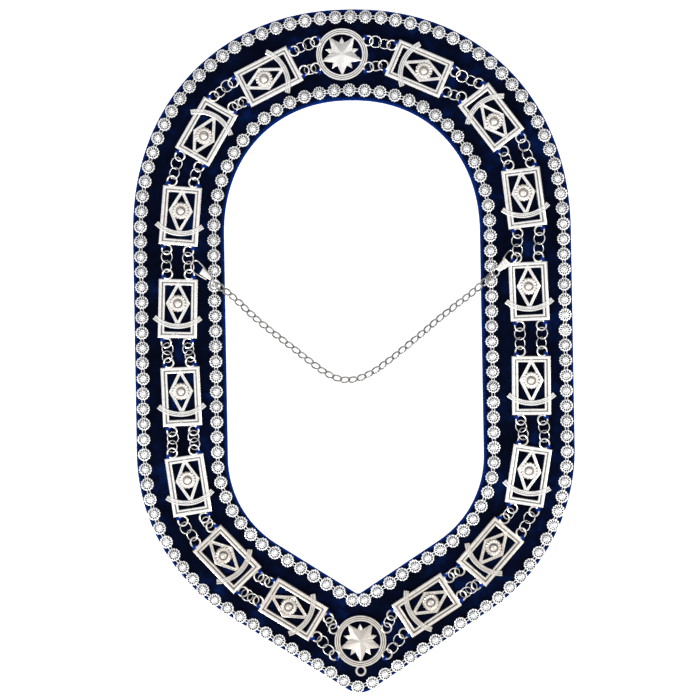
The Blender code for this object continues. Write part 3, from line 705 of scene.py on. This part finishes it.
def bead(work, centre):
    """A small dome."""
    base = [work.verts.new(centre + point) for point in circle(BEAD_RADIUS, BEAD_SIDES)]
    lift = Vector((0, 0, BEAD_RADIUS * 0.7))
    ring = [work.verts.new(centre + point + lift) for point in circle(BEAD_RADIUS * 0.6, BEAD_SIDES)]
    top = work.verts.new(centre + Vector((0, 0, BEAD_RADIUS)))
    for i in range(BEAD_SIDES):
        j = (i + 1) % BEAD_SIDES
        work.faces.new((base[i], base[j], ring[j], ring[i]))
        work.faces.new((ring[i], ring[j], top))


# Heights of the grooves' floors in the profiles below, in mm
FRAME_GROOVE = 1.9
SWAG_GROOVE = 2.45

# Sections of the cast bars: inset and height in mm; for the swag, inset as a share of its width
FRAME_PROFILE = [
    (0.0, 0.0), (0.0, 2.3), (0.25, 2.9), (0.6, 3.35), (1.2, 3.6), (2.4, 3.6), (3.1, 3.4), (3.35, 3.15),
    (3.4, 1.9), (4.05, 1.9), (4.1, 2.85), (4.4, 3.2), (5.2, 3.25), (5.9, 3.0), (6.5, 2.0), (6.5, 0.0),
]
LOZENGE_PROFILE = [
    (0.0, 0.6), (0.0, 2.2), (0.25, 2.75), (0.75, 2.85), (1.0, 2.25), (2.0, 2.25), (2.25, 2.85), (2.75, 2.75),
    (3.0, 2.2), (3.0, 0.6),
]
SWAG_PROFILE = [
    (0.0, 0.6), (0.0, 3.1), (0.05, 3.6), (0.12, 3.8), (0.28, 3.8), (0.33, 3.6), (0.34, 2.45), (0.39, 2.45),
    (0.40, 3.4), (0.60, 3.4), (0.61, 2.45), (0.66, 2.45), (0.67, 3.6), (0.72, 3.8), (0.88, 3.8), (0.95, 3.6),
    (1.0, 3.1), (1.0, 0.6),
]


def paint_groove_shade(work, *levels):
    """Paints shade onto the floors of the grooves at these heights, as a darker silver."""
    for face in work.faces:
        for level in levels:
            if all(abs(vert.co.z - level * MM) < 0.06 * MM for vert in face.verts):
                face.material_index = 2


def rectangle(width, length):
    return [Vector((x * width / 2, y * length / 2, 0)) for x, y in ((-1, -1), (1, -1), (1, 1), (-1, 1))]


def lozenge_corners():
    """Outer corners of the lozenge, so that its bars' middles meet the frame and the swag."""
    upper = PLATE_LENGTH / 2 - FRAME_WIDTH / 2
    slope = math.atan2(upper - BOSS_RISE, LOZENGE_HALF_WIDTH)
    side = LOZENGE_HALF_WIDTH + LOZENGE_BAR / 2 / math.sin(slope)
    end = LOZENGE_BAR / 2 / math.cos(slope)
    return [
        Vector((0, -SWAG_DROP - end / 2, 0)), Vector((side, BOSS_RISE, 0)),
        Vector((0, upper + end / 2, 0)), Vector((-side, BOSS_RISE, 0)),
    ]


def add_lozenge(work):
    corners = lozenge_corners()
    mitred(work, corners, LOZENGE_PROFILE)
    middle = inset_corners(corners, LOZENGE_BAR / 2)
    for a, b in zip(middle, middle[1:] + middle[:1]):
        count = round((b - a).length / BEAD_STEP)
        for i in range(1, count):
            bead(work, a.lerp(b, i / count) + Vector((0, 0, LOZENGE_BEAD_HEIGHT)))


# The boss from its foot to its dome: share of its radius, height in mm, and how far the rays swing
BOSS_PROFILE = [
    (1.0, 0.6, 0.0), (1.0, 2.1, 0.04), (0.95, 2.9, 0.04), (0.87, 3.3, 0.02), (0.76, 3.4, 0.0),
    (0.55, 3.4, 0.0), (0.53, 2.5, 0.0), (0.47, 2.5, 0.0), (0.45, 3.2, 0.0),
]
RAYED = (0.7, 0.97)


def add_boss(work):
    """A rayed disc with a groove round a smooth dome."""
    steps = BOSS_RAYS * RAY_STEPS
    raised = Vector((0, BOSS_RISE, 0))
    rings = []
    for share, up, wave in BOSS_PROFILE:
        ring = []
        for i in range(steps):
            turn = 2 * math.pi * i / steps
            ray = math.cos(BOSS_RAYS * turn)
            radius = BOSS_RADIUS * (share + wave * ray)
            level = up + (RAY_RELIEF * ray if RAYED[0] < share < RAYED[1] else 0.0)
            ring.append(raised + Vector((radius * math.cos(turn), radius * math.sin(turn), level * MM)))
        rings.append(ring)
    for i in range(1, DOME_STEPS):
        angle = math.pi / 2 * i / DOME_STEPS
        level = Vector((0, 0, DOME_BASE + DOME_RISE * math.sin(angle)))
        rings.append([raised + point + level for point in circle(DOME_RADIUS * math.cos(angle), steps)])
    made = bridge(work, rings, closed=False, material=1)
    work.faces.new(made[-1]).material_index = 1


def add_swag(work):
    """The curved band across the plate, grooved along its length and beaded in its middle."""
    radius = ((SWAG_SPAN / 2) ** 2 + SWAG_SAG ** 2) / (2 * SWAG_SAG)
    reach = math.asin(SWAG_SPAN / 2 / radius)
    centre = Vector((0, radius - SWAG_DROP, 0))
    rings = []
    for i in range(SWAG_STEPS + 1):
        turn = -math.pi / 2 + reach * (2 * i / SWAG_STEPS - 1)
        outwards = Vector((math.cos(turn), math.sin(turn), 0))
        rings.append([
            centre + outwards * (radius + SWAG_WIDTH * (0.5 - across)) + Vector((0, 0, up * MM))
            for across, up in SWAG_PROFILE
        ])
        if 0 < i < SWAG_STEPS:
            bead(work, centre + outwards * radius + Vector((0, 0, SWAG_BEAD_HEIGHT)))
    made = bridge(work, rings, closed=False)
    work.faces.new(made[0])
    work.faces.new(made[-1])


def add_lug(work, centre):
    path = circle(LUG_RADIUS, LUG_STEPS, Vector((centre.x, centre.y, LUG_HEIGHT)))
    tube(work, path, LUG_WIRE, closed=True)


def plate_lugs():
    """Middles of a plate's four lugs in its own frame, by end and by side."""
    return {
        (end, side): Vector((side * LUG_SPACING / 2, end * PLATE_REACH, 0))
        for end in (1, -1) for side in (1, -1)
    }


def plate_mesh(name, cast, boss):
    work = bmesh.new()
    mitred(work, rectangle(PLATE_WIDTH, PLATE_LENGTH), FRAME_PROFILE)
    add_lozenge(work)
    add_boss(work)
    add_swag(work)
    paint_groove_shade(work, FRAME_GROOVE, SWAG_GROOVE)
    for centre in plate_lugs().values():
        add_lug(work, centre)
    return finish_mesh(name, work, [cast, boss, "groove"], 24)


def make_plates():
    cool = plate_mesh("plate_cool", "cast", "boss")
    warm = plate_mesh("plate_warm", "cast_warm", "boss_warm")
    for side in ("left", "right"):
        for number in range(1, PLATE_COUNT + 1):
            node = f"plate_{side}_{number}"
            mesh = warm if number >= PLATE_COUNT - 1 else cool
            add_piece(f"cast_{node}", mesh, [node], SEATS[node])


def star(work, radius, first_angle, edge, ridge, material=0):
    """A star whose pleats fan out from a raised middle; its edge is lower in the notches."""
    corners = []
    for i in range(2 * STAR_POINTS):
        turn = first_angle + math.pi * i / STAR_POINTS
        reach, rise = (radius * STAR_WAIST, 0.0) if i % 2 else (radius, STAR_TIP_RISE)
        corners.append(Vector((reach * math.cos(turn), reach * math.sin(turn), rise)))
    outline = []
    for start, end in zip(corners, corners[1:] + corners[:1]):
        for k in range(STAR_PLEATS):
            outline.append(start.lerp(end, k / STAR_PLEATS) + Vector((0, 0, PLEAT_DEPTH * (-1) ** k)))
    floor = [Vector((point.x, point.y, STAR_BASE)) for point in outline]
    rim = [point + Vector((0, 0, edge)) for point in outline]
    share, level = STAR_CROWN_SHARE, ridge - STAR_CROWN_DROP
    crown = [Vector((point.x * share, point.y * share, level)) for point in outline]
    made = bridge(work, [floor, rim, crown], closed=False, material=material)
    top = work.verts.new(Vector((0, 0, ridge)))
    for i in range(len(outline)):
        face = work.faces.new((made[-1][i], made[-1][(i + 1) % len(outline)], top))
        face.material_index = material


def medallion_lug(side, up):
    angle = up * MEDALLION_LUG_ANGLE
    return Vector((side * math.cos(angle), math.sin(angle), 0)) * MEDALLION_LUG_RADIUS


# The medallion's rim: inset and height in mm
RIM_PROFILE = [
    (0.0, 0.3), (0.0, 2.5), (0.2, 3.0), (0.5, 3.3), (1.55, 3.3), (1.65, 3.1), (1.7, 1.9), (2.1, 1.9),
    (2.15, 3.1), (2.25, 3.4), (3.2, 3.4), (3.3, 3.1), (3.35, 1.9), (3.75, 1.9), (3.8, 3.0), (4.0, 3.25),
    (5.1, 3.25), (5.4, 2.9), (5.6, 2.3), (5.6, 0.3),
]


def medallion_mesh(name, cast, stars, with_eye):
    work = bmesh.new()
    bridge(work, [
        circle(MEDALLION_RADIUS - inset * MM, RIM_STEPS, Vector((0, 0, up * MM))) for inset, up in RIM_PROFILE
    ])
    paint_groove_shade(work, FRAME_GROOVE)
    reach = MEDALLION_RADIUS - MEDALLION_RIM + STAR_BITE
    down = -math.pi / 2
    star(work, reach * SMALL_STAR_SHARE, -down, SMALL_STAR_EDGE, SMALL_STAR_RIDGE)
    star(work, reach, down, STAR_EDGE, STAR_RIDGE, material=1)
    for side in (1, -1):
        for up in (1, -1):
            add_lug(work, medallion_lug(side, up))
    if with_eye:
        drop = MEDALLION_RADIUS + PENDANT_EYE_RADIUS - PENDANT_EYE_WIRE / 3
        path = circle(PENDANT_EYE_RADIUS, LUG_STEPS, Vector((0, -drop, PENDANT_EYE_HEIGHT)))
        tube(work, path, PENDANT_EYE_WIRE, PENDANT_EYE_SIDES, closed=True)
    return finish_mesh(name, work, [cast, stars, "groove"], 20)


def medallion_places():
    """Middles of both medallions: the bottom one's box also holds the pendant eye."""
    low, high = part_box("medallion_top")
    half_height = (high.y - low.y) / 2
    top = Vector(((low.x + high.x) / 2, (low.y + high.y) / 2, SEAT_LEVEL))
    low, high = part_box("medallion_bottom")
    bottom = Vector(((low.x + high.x) / 2, high.y - half_height, SEAT_LEVEL))
    return top, bottom


def make_medallions():
    top = medallion_mesh("star_medallion", "cast", "star", False)
    bottom = medallion_mesh("star_medallion_with_eye", "cast_warm", "star_warm", True)
    for node, mesh, place in (("medallion_top", top, TOP_PLACE), ("medallion_bottom", bottom, BOTTOM_PLACE)):
        add_piece(f"cast_{node}", mesh, [node], Matrix.Translation(place))


# Jump rings

def lug_line(side):
    """Lug pairs down one side, as ((outer, inner) above, (outer, inner) below) for each gap."""
    lugs = plate_lugs()
    side_name = "right" if side > 0 else "left"
    pairs = [(TOP_PLACE + medallion_lug(side, 1), TOP_PLACE + medallion_lug(side, -1))]
    for number in range(1, PLATE_COUNT + 1):
        seat = SEATS[f"plate_{side_name}_{number}"]
        places = sorted((seat @ place for place in lugs.values()), key=lambda p: (p - pairs[-1][0]).length)
        for ends in (places[:2], places[2:]):
            pairs.append(tuple(sorted(ends, key=lambda p: p.length, reverse=True)))
    pairs.append((BOTTOM_PLACE + medallion_lug(side, -1), BOTTOM_PLACE + medallion_lug(side, 1)))
    return list(zip(pairs[0::2], pairs[1::2]))


def ring_centres(start, end):
    span = (end - start).length
    heading = (end - start).normalized()
    tight = LUG_RADIUS + RING_RADIUS - LUG_BITE
    pair = 2 * RING_RADIUS - PAIR_BITE
    count = 1 + max(0, math.ceil((span - 2 * tight) / pair))
    first = span * tight / (2 * tight + (count - 1) * pair)
    if count > 1:
        passing = LUG_RADIUS + LUG_WIDTH / 2 + RING_RADIUS + RING_WIRE / 2 + RING_CLEARANCE
        first = min(first, max(span - passing, span / 4))
    step = (span - 2 * first) / (count - 1) if count > 1 else 0
    return [start + heading * (first + i * step) for i in range(count)], heading


def ring_rows():
    """Each row's name and its rings' middles and planes; neighbours tilt opposite ways to interlock."""
    rows = {}
    for side, side_name in ((-1, "left"), (1, "right")):
        for gap, (upper, lower) in enumerate(lug_line(side)):
            for place, start, end in zip(("outer", "inner"), upper, lower):
                start = Vector((start.x, start.y, LUG_LEVEL))
                end = Vector((end.x, end.y, LUG_LEVEL))
                centres, heading = ring_centres(start, end)
                sideways = Vector((-heading.y, heading.x, 0))
                rings = []
                for i, centre in enumerate(centres):
                    way = -side * (1 if (len(centres) - 1 - i) % 2 == 0 else -1)
                    tilt = Matrix.Rotation(way * RING_TILT, 4, heading)
                    stray = sideways * RANDOM.uniform(-1, 1) * RING_STRAY
                    rings.append(Matrix.Translation(centre + stray) @ tilt)
                rows[f"ring_row_{side_name}_{gap}_{place}"] = rings
    return rows


def make_ring_rows():
    for node, rings in ROWS.items():
        work = bmesh.new()
        for matrix in rings:
            path = [matrix @ point for point in circle(RING_RADIUS, RING_STEPS)]
            tube(work, path, RING_WIRE_SEEN, closed=True)
        mesh = finish_mesh(f"{node}_rings", work, ["ring"], 60)
        add_piece(node.replace("ring_row", "rings"), mesh, [node])


# Rhinestone trims

# A cup from its foot to the stone's seat: share of its radius, and height in mm
CUP_PROFILE = [
    (1.00, 0.0), (1.00, 1.8), (0.97, 2.25), (0.92, 2.45), (0.80, 2.5), (0.76, 2.45), (0.75, 2.4),
    (0.52, 2.4), (0.51, 2.45), (0.45, 2.7), (0.40, 2.75), (0.37, 2.4),
]
SCALLOPED_FROM = 0.85
SLOT_ENDS = (0.52, 0.75)
SLOT_FLOOR = 1.0 * MM


def cup_mesh():
    """A scalloped cup with dark slots round its collar, and a faceted stone in its middle."""
    work = bmesh.new()
    steps = CUP_LOBES * LOBE_STEPS
    rings = []
    for share, up in CUP_PROFILE:
        ring = []
        for i in range(steps):
            turn = 2 * math.pi * i / steps
            dent = 1 - abs(math.cos(turn * CUP_LOBES / 2))
            radius = CUP_RADIUS * share * (1 - (SCALLOP_DEPTH * dent if share > SCALLOPED_FROM else 0.0))
            dip = SCALLOP_DIP * dent if share > 0.76 else 0.0
            sunk = SLOT_DEPTH if share in SLOT_ENDS and i % LOBE_STEPS in (0, 1) else 0.0
            ring.append(Vector((radius * math.cos(turn), radius * math.sin(turn), (up - dip) * MM - sunk)))
        rings.append(ring)
    made = bridge(work, rings, closed=False)
    work.faces.new(made[0])
    for face in work.faces:
        share = face.calc_center_median().xy.length / CUP_RADIUS
        high = max(vert.co.z for vert in face.verts)
        if 0.50 < share < 0.76 and high < SLOT_FLOOR:
            face.material_index = 1
    facets = [(1.0, 2.1), (1.0, 2.5), (0.78, 3.05), (0.5, 3.35)]
    stone = []
    for k, (share, up) in enumerate(facets):
        turned = Matrix.Rotation(k * math.pi / 8, 3, "Z")
        stone.append(circle(STONE_RADIUS * share, 8, Vector((0, 0, up * MM)), turned))
    made = bridge(work, stone, closed=False, material=2)
    work.faces.new(made[-1]).material_index = 2
    mesh = bpy.data.meshes.new("cup")
    work.to_mesh(mesh)
    work.free()
    return mesh


def trim_places(inset, offset):
    """Middle and heading of each cup round the band, starting beside the tip."""
    outline = whole_outline(inset)
    tip = len(half_outline(inset)) - 1
    loop = outline[tip:] + outline[:tip] + [outline[tip]]
    length = sum((b - a).length for a, b in zip(loop, loop[1:]))
    count = round(length / CUP_PITCH)
    return walk(loop, [length * (i + offset) / count for i in range(count)])


def trim_stray(point, sign):
    """How far a cup lies inwards of its line, from the diagonals up to the sides."""
    share = min(1.0, max(0.0, (point.y - STRAY_START) / STRAY_SPAN))
    return sign * (DIAGONAL_STRAY + (SIDE_STRAY - DIAGONAL_STRAY) * share)


def make_trim(node, inset, offset, sign):
    template = cup_mesh()
    work = bmesh.new()
    places = trim_places(inset, offset)
    middles = []
    for point, travel in places:
        inwards = Vector((travel.y, -travel.x, 0))
        middle = point + inwards * (trim_stray(point, sign) + RANDOM.uniform(-CUP_STRAY, CUP_STRAY))
        middle.z = SEAT_LEVEL
        middles.append(middle)
        lean = Matrix.Rotation(RANDOM.uniform(-CUP_LEAN, CUP_LEAN), 4, "X")
        lean @= Matrix.Rotation(RANDOM.uniform(-CUP_LEAN, CUP_LEAN), 4, "Y")
        turn = Matrix.Rotation(RANDOM.uniform(0, math.pi), 4, "Z")
        copy = template.copy()
        copy.transform(Matrix.Translation(middle) @ lean @ turn)
        work.from_mesh(copy)
        bpy.data.meshes.remove(copy)
    for a, b in zip(middles, middles[1:] + middles[:1]):
        along = (b - a).normalized()
        across = Vector((-along.y, along.x, 0))
        for way in (1, -1):
            shift = across * BRIDGE_SPREAD * way + Vector((0, 0, BRIDGE_HEIGHT))
            edge = along * (CUP_RADIUS - BRIDGE_BITE)
            tube(work, [a + edge + shift, b - edge + shift], BRIDGE_WIRE, BRIDGE_SIDES)
    mesh = bpy.data.meshes.new(f"{node}_cups")
    work.to_mesh(mesh)
    work.free()
    for key in ("cup", "slot", "stone"):
        mesh.materials.append(MATERIALS[key])
    mesh.shade_smooth()
    mesh.set_sharp_from_angle(angle=math.radians(22))
    add_piece(f"{node}_cups", mesh, [node])


# Hooks and safety chain

def hook_frame(side):
    """The held ring's middle, and a hook's axes: along runs towards the opening and down."""
    side_name = "right" if side > 0 else "left"
    middle = ROWS[f"ring_row_{side_name}_{HOOK_GAP}_inner"][-1].translation
    heading = HOOK_HEADINGS[side]
    along = Vector((-side * math.cos(heading), -math.sin(heading), 0))
    across = Vector((-side * math.sin(heading), math.cos(heading), 0))
    return middle, along, across


def hook_point(side, along_distance, across_distance, level):
    middle, along, across = hook_frame(side)
    place = middle + along * along_distance + across * across_distance
    return Vector((place.x, place.y, level))


# Section of a sleeve: across and up, as shares of its width and thickness
SLEEVE_SECTION = [
    (-0.50, 0.0), (-0.47, 0.32), (-0.38, 0.46), (-0.20, 0.50), (0.20, 0.50), (0.38, 0.46), (0.47, 0.32),
    (0.50, 0.0), (0.47, -0.32), (0.38, -0.48), (-0.38, -0.48), (-0.47, -0.32),
]


def add_sleeve(work, side):
    """A pressed sheet sleeve: flat, tapered and round-edged."""
    rings = []
    for spot in SLEEVES[side]:
        rings.append([
            hook_point(
                side, spot.along * MM, (spot.across + spot.width * across) * MM,
                HOOK_LEVEL + SLEEVE_THICKNESS * up)
            for across, up in SLEEVE_SECTION
        ])
    made = bridge(work, rings, closed=False)
    work.faces.new(made[0])
    work.faces.new(made[-1])


def make_hooks():
    rise = HOOK_LEVEL - LUG_LEVEL
    for side, side_name in ((-1, "left"), (1, "right")):
        work = bmesh.new()
        add_sleeve(work, side)
        points = [
            hook_point(side, bend.along * MM, bend.across * MM, LUG_LEVEL + bend.lift * rise)
            for bend in LOOP_PATHS[side]
        ]
        tube(work, smooth_route(points, HOOK_STEP), HOOK_WIRE)
        eye = hook_point(side, HOOK_EYE_PLACE, 0, HOOK_LEVEL)
        tube(work, circle(HOOK_EYE_RADIUS, HOOK_EYE_STEPS, eye), HOOK_EYE_WIRE, closed=True)
        mesh = finish_mesh(f"hook_{side_name}_wire", work, ["ring"], 40)
        add_piece(f"spring_hook_{side_name}", mesh, [f"hook_{side_name}"])


def link_path(matrix):
    """The wire of a curb link: an oval whose ends are twisted opposite ways."""
    path = []
    for i in range(LINK_STEPS):
        turn = 2 * math.pi * i / LINK_STEPS
        x = (LINK_LENGTH - LINK_WIRE) / 2 * math.cos(turn)
        y = (LINK_WIDTH - LINK_WIRE) / 2 * math.sin(turn) * (1 + LINK_BULGE * math.cos(turn) ** 2)
        twist = LINK_TWIST * math.cos(turn)
        path.append(matrix @ Vector((x, y * math.cos(twist), y * math.sin(twist))))
    return path


def make_safety_chain():
    reach = HOOK_EYE_PLACE + HOOK_EYE_RADIUS - LINK_WIRE
    ends = [hook_point(side, reach, 0, HOOK_LEVEL) for side in (-1, 1)]
    laid = [
        Vector((stop.x * MM, stop.y * MM, CHAIN_LYING + stop.lift * (HOOK_LEVEL - CHAIN_LYING)))
        for stop in CHAIN_ROUTE
    ]
    route = smooth_route([ends[0]] + laid + [ends[1]], ROUTE_STEP)
    length = sum((b - a).length for a, b in zip(route, route[1:]))
    count = round(length / LINK_PITCH)
    pitch = length / count
    work = bmesh.new()
    for point, travel in walk(route, [pitch * (i + 0.5) for i in range(count)]):
        side = travel.cross(Vector((0, 0, 1))).normalized()
        up = side.cross(travel)
        basis = Matrix((travel, side, up)).transposed().to_4x4()
        roll = Matrix.Rotation(LINK_ROLL + RANDOM.uniform(-LINK_SWAY, LINK_SWAY), 4, "X")
        yaw = Matrix.Rotation(LINK_YAW + RANDOM.uniform(-LINK_SWAY, LINK_SWAY) / 2, 4, "Z")
        tube(work, link_path(Matrix.Translation(point) @ basis @ yaw @ roll), LINK_WIRE, closed=True)
    mesh = finish_mesh("curb_links", work, ["chain"], 60)
    add_piece("curb_chain", mesh, ["safety_chain"])


# Stitches

def add_stitch(work, place, across, along):
    """Turns of thread that hold a lug's wire down on the velvet."""
    top = LUG_LEVEL + LUG_WIRE / 2 + THREAD_WIDTH / 2
    bottom = BAND_TOP - STITCH_SINK
    for i in range(STITCH_TURNS):
        shift = THREAD_WIDTH * STITCH_SPACING * (i - (STITCH_TURNS - 1) / 2)
        base = place + along * (shift + RANDOM.uniform(-THREAD_STRAY, THREAD_STRAY))
        reach = STITCH_REACH * RANDOM.uniform(0.85, 1.2)
        path = []
        for k in range(STITCH_STEPS + 1):
            turn = math.pi * k / STITCH_STEPS
            level = bottom + math.sin(turn) ** 0.6 * (top - bottom)
            path.append(Vector((base.x, base.y, level)) - across * math.cos(turn) * reach)
        tube(work, path, THREAD_WIDTH, THREAD_SIDES)


def make_stitches():
    work = bmesh.new()
    for node, seat in SEATS.items():
        turn = seat.to_3x3()
        for (end, side), lug in plate_lugs().items():
            facing = Vector((side * math.cos(STITCH_ANGLE), -end * math.sin(STITCH_ANGLE), 0))
            spot = seat @ (lug + facing * LUG_RADIUS)
            add_stitch(work, spot, turn @ facing, turn @ Vector((-facing.y, facing.x, 0)))
    for middle in (TOP_PLACE, BOTTOM_PLACE):
        for side in (1, -1):
            for up in (1, -1):
                lug = medallion_lug(side, up)
                facing = (Vector((0, up, 0)) - lug.normalized() * 0.6).normalized()
                sideways = Vector((-facing.y, facing.x, 0))
                add_stitch(work, middle + lug + facing * LUG_RADIUS, facing, sideways)
    mesh = finish_mesh("thread_stitches", work, ["thread"], 60)
    add_piece("thread_stitches", mesh)


# Setting

def make_floor():
    """A white light table, so that the collar casts hardly any shadow."""
    work = bmesh.new()
    corners = [(-3, -3), (3, -3), (3, 3), (-3, 3)]
    work.faces.new([work.verts.new((x, y, 0)) for x, y in corners])
    mesh = bpy.data.meshes.new("floor")
    work.to_mesh(mesh)
    work.free()
    floor = bpy.data.objects.new("floor", mesh)
    floor.location.z = -0.2 * MM
    bpy.context.scene.collection.objects.link(floor)
    material, tree, shader = new_material("lit_white_table")
    grain = add_noise(tree, 40, 3.0, 0.5)
    tone = add_ramp(tree, grain.outputs["Fac"], [(0.3, (0.80, 0.80, 0.80)), (0.7, (0.83, 0.83, 0.83))])
    tree.links.new(tone, shader.inputs["Base Color"])
    tree.links.new(tone, shader.inputs["Emission Color"])
    shader.inputs["Emission Strength"].default_value = 0.95
    shader.inputs["Roughness"].default_value = 0.9
    mesh.materials.append(material)


def area_light(name, place, size, power):
    data = bpy.data.lights.new(name, "AREA")
    data.shape = "DISK"
    data.size = size
    data.energy = power
    light = bpy.data.objects.new(name, data)
    light.location = place
    light.rotation_euler = (-Vector(place)).to_track_quat("-Z", "Y").to_euler()
    bpy.context.scene.collection.objects.link(light)


def make_light():
    """A white tent, bright overhead and towards the collar's point, dark behind its top."""
    world = bpy.data.worlds.new("studio")
    bpy.context.scene.world = world
    world.use_nodes = True
    tree = world.node_tree
    place = tree.nodes.new("ShaderNodeTexCoord")
    weigh = tree.nodes.new("ShaderNodeVectorMath")
    weigh.operation = "DOT_PRODUCT"
    weigh.inputs[1].default_value = (-0.10, -0.36, 0.62)
    tree.links.new(place.outputs["Generated"], weigh.inputs[0])
    spread = tree.nodes.new("ShaderNodeMapRange")
    spread.inputs["From Min"].default_value = -0.40
    spread.inputs["From Max"].default_value = 0.65
    tree.links.new(weigh.outputs["Value"], spread.inputs["Value"])
    tent = add_ramp(tree, spread.outputs["Result"], [
        (0.0, (0.02, 0.02, 0.025)), (0.38, (0.14, 0.14, 0.15)), (0.68, (0.50, 0.50, 0.51)),
        (0.86, (0.95, 0.95, 0.95)), (1.0, (1.10, 1.10, 1.10))])
    back = tree.nodes["Background"]
    tree.links.new(tent, back.inputs["Color"])
    area_light("key", (-0.6, -1.0, 1.2), 0.4, 9)
    area_light("fill", (0.9, -0.2, 1.3), 0.7, 4)


def make_camera():
    data = bpy.data.cameras.new("camera")
    data.lens = LENS
    data.sensor_width = SENSOR
    data.clip_end = 20
    camera = bpy.data.objects.new("camera", data)
    distance = IMAGE_PIXELS * PIXEL * LENS / SENSOR
    camera.location = VIEW_CENTRE + Vector((0, 0, distance))
    camera.rotation_euler = (0, 0, VIEW_ROLL)
    bpy.context.scene.collection.objects.link(camera)
    bpy.context.scene.camera = camera
    bpy.context.scene.view_settings.view_transform = "Standard"


SEATS = {
    f"plate_{side}_{number}": seat_of(f"plate_{side}_{number}")
    for side in ("left", "right") for number in range(1, PLATE_COUNT + 1)
}
TOP_PLACE, BOTTOM_PLACE = medallion_places()
ROWS = ring_rows()

make_band()
make_fibres()
make_plates()
make_medallions()
make_ring_rows()
make_trim("outer_trim", OUTER_TRIM_INSET, 0.14, 1)
make_trim("inner_trim", BAND_WIDTH - INNER_TRIM_INSET, 0.5, -1)
make_hooks()
make_safety_chain()
make_stitches()
make_floor()
make_light()
make_camera()
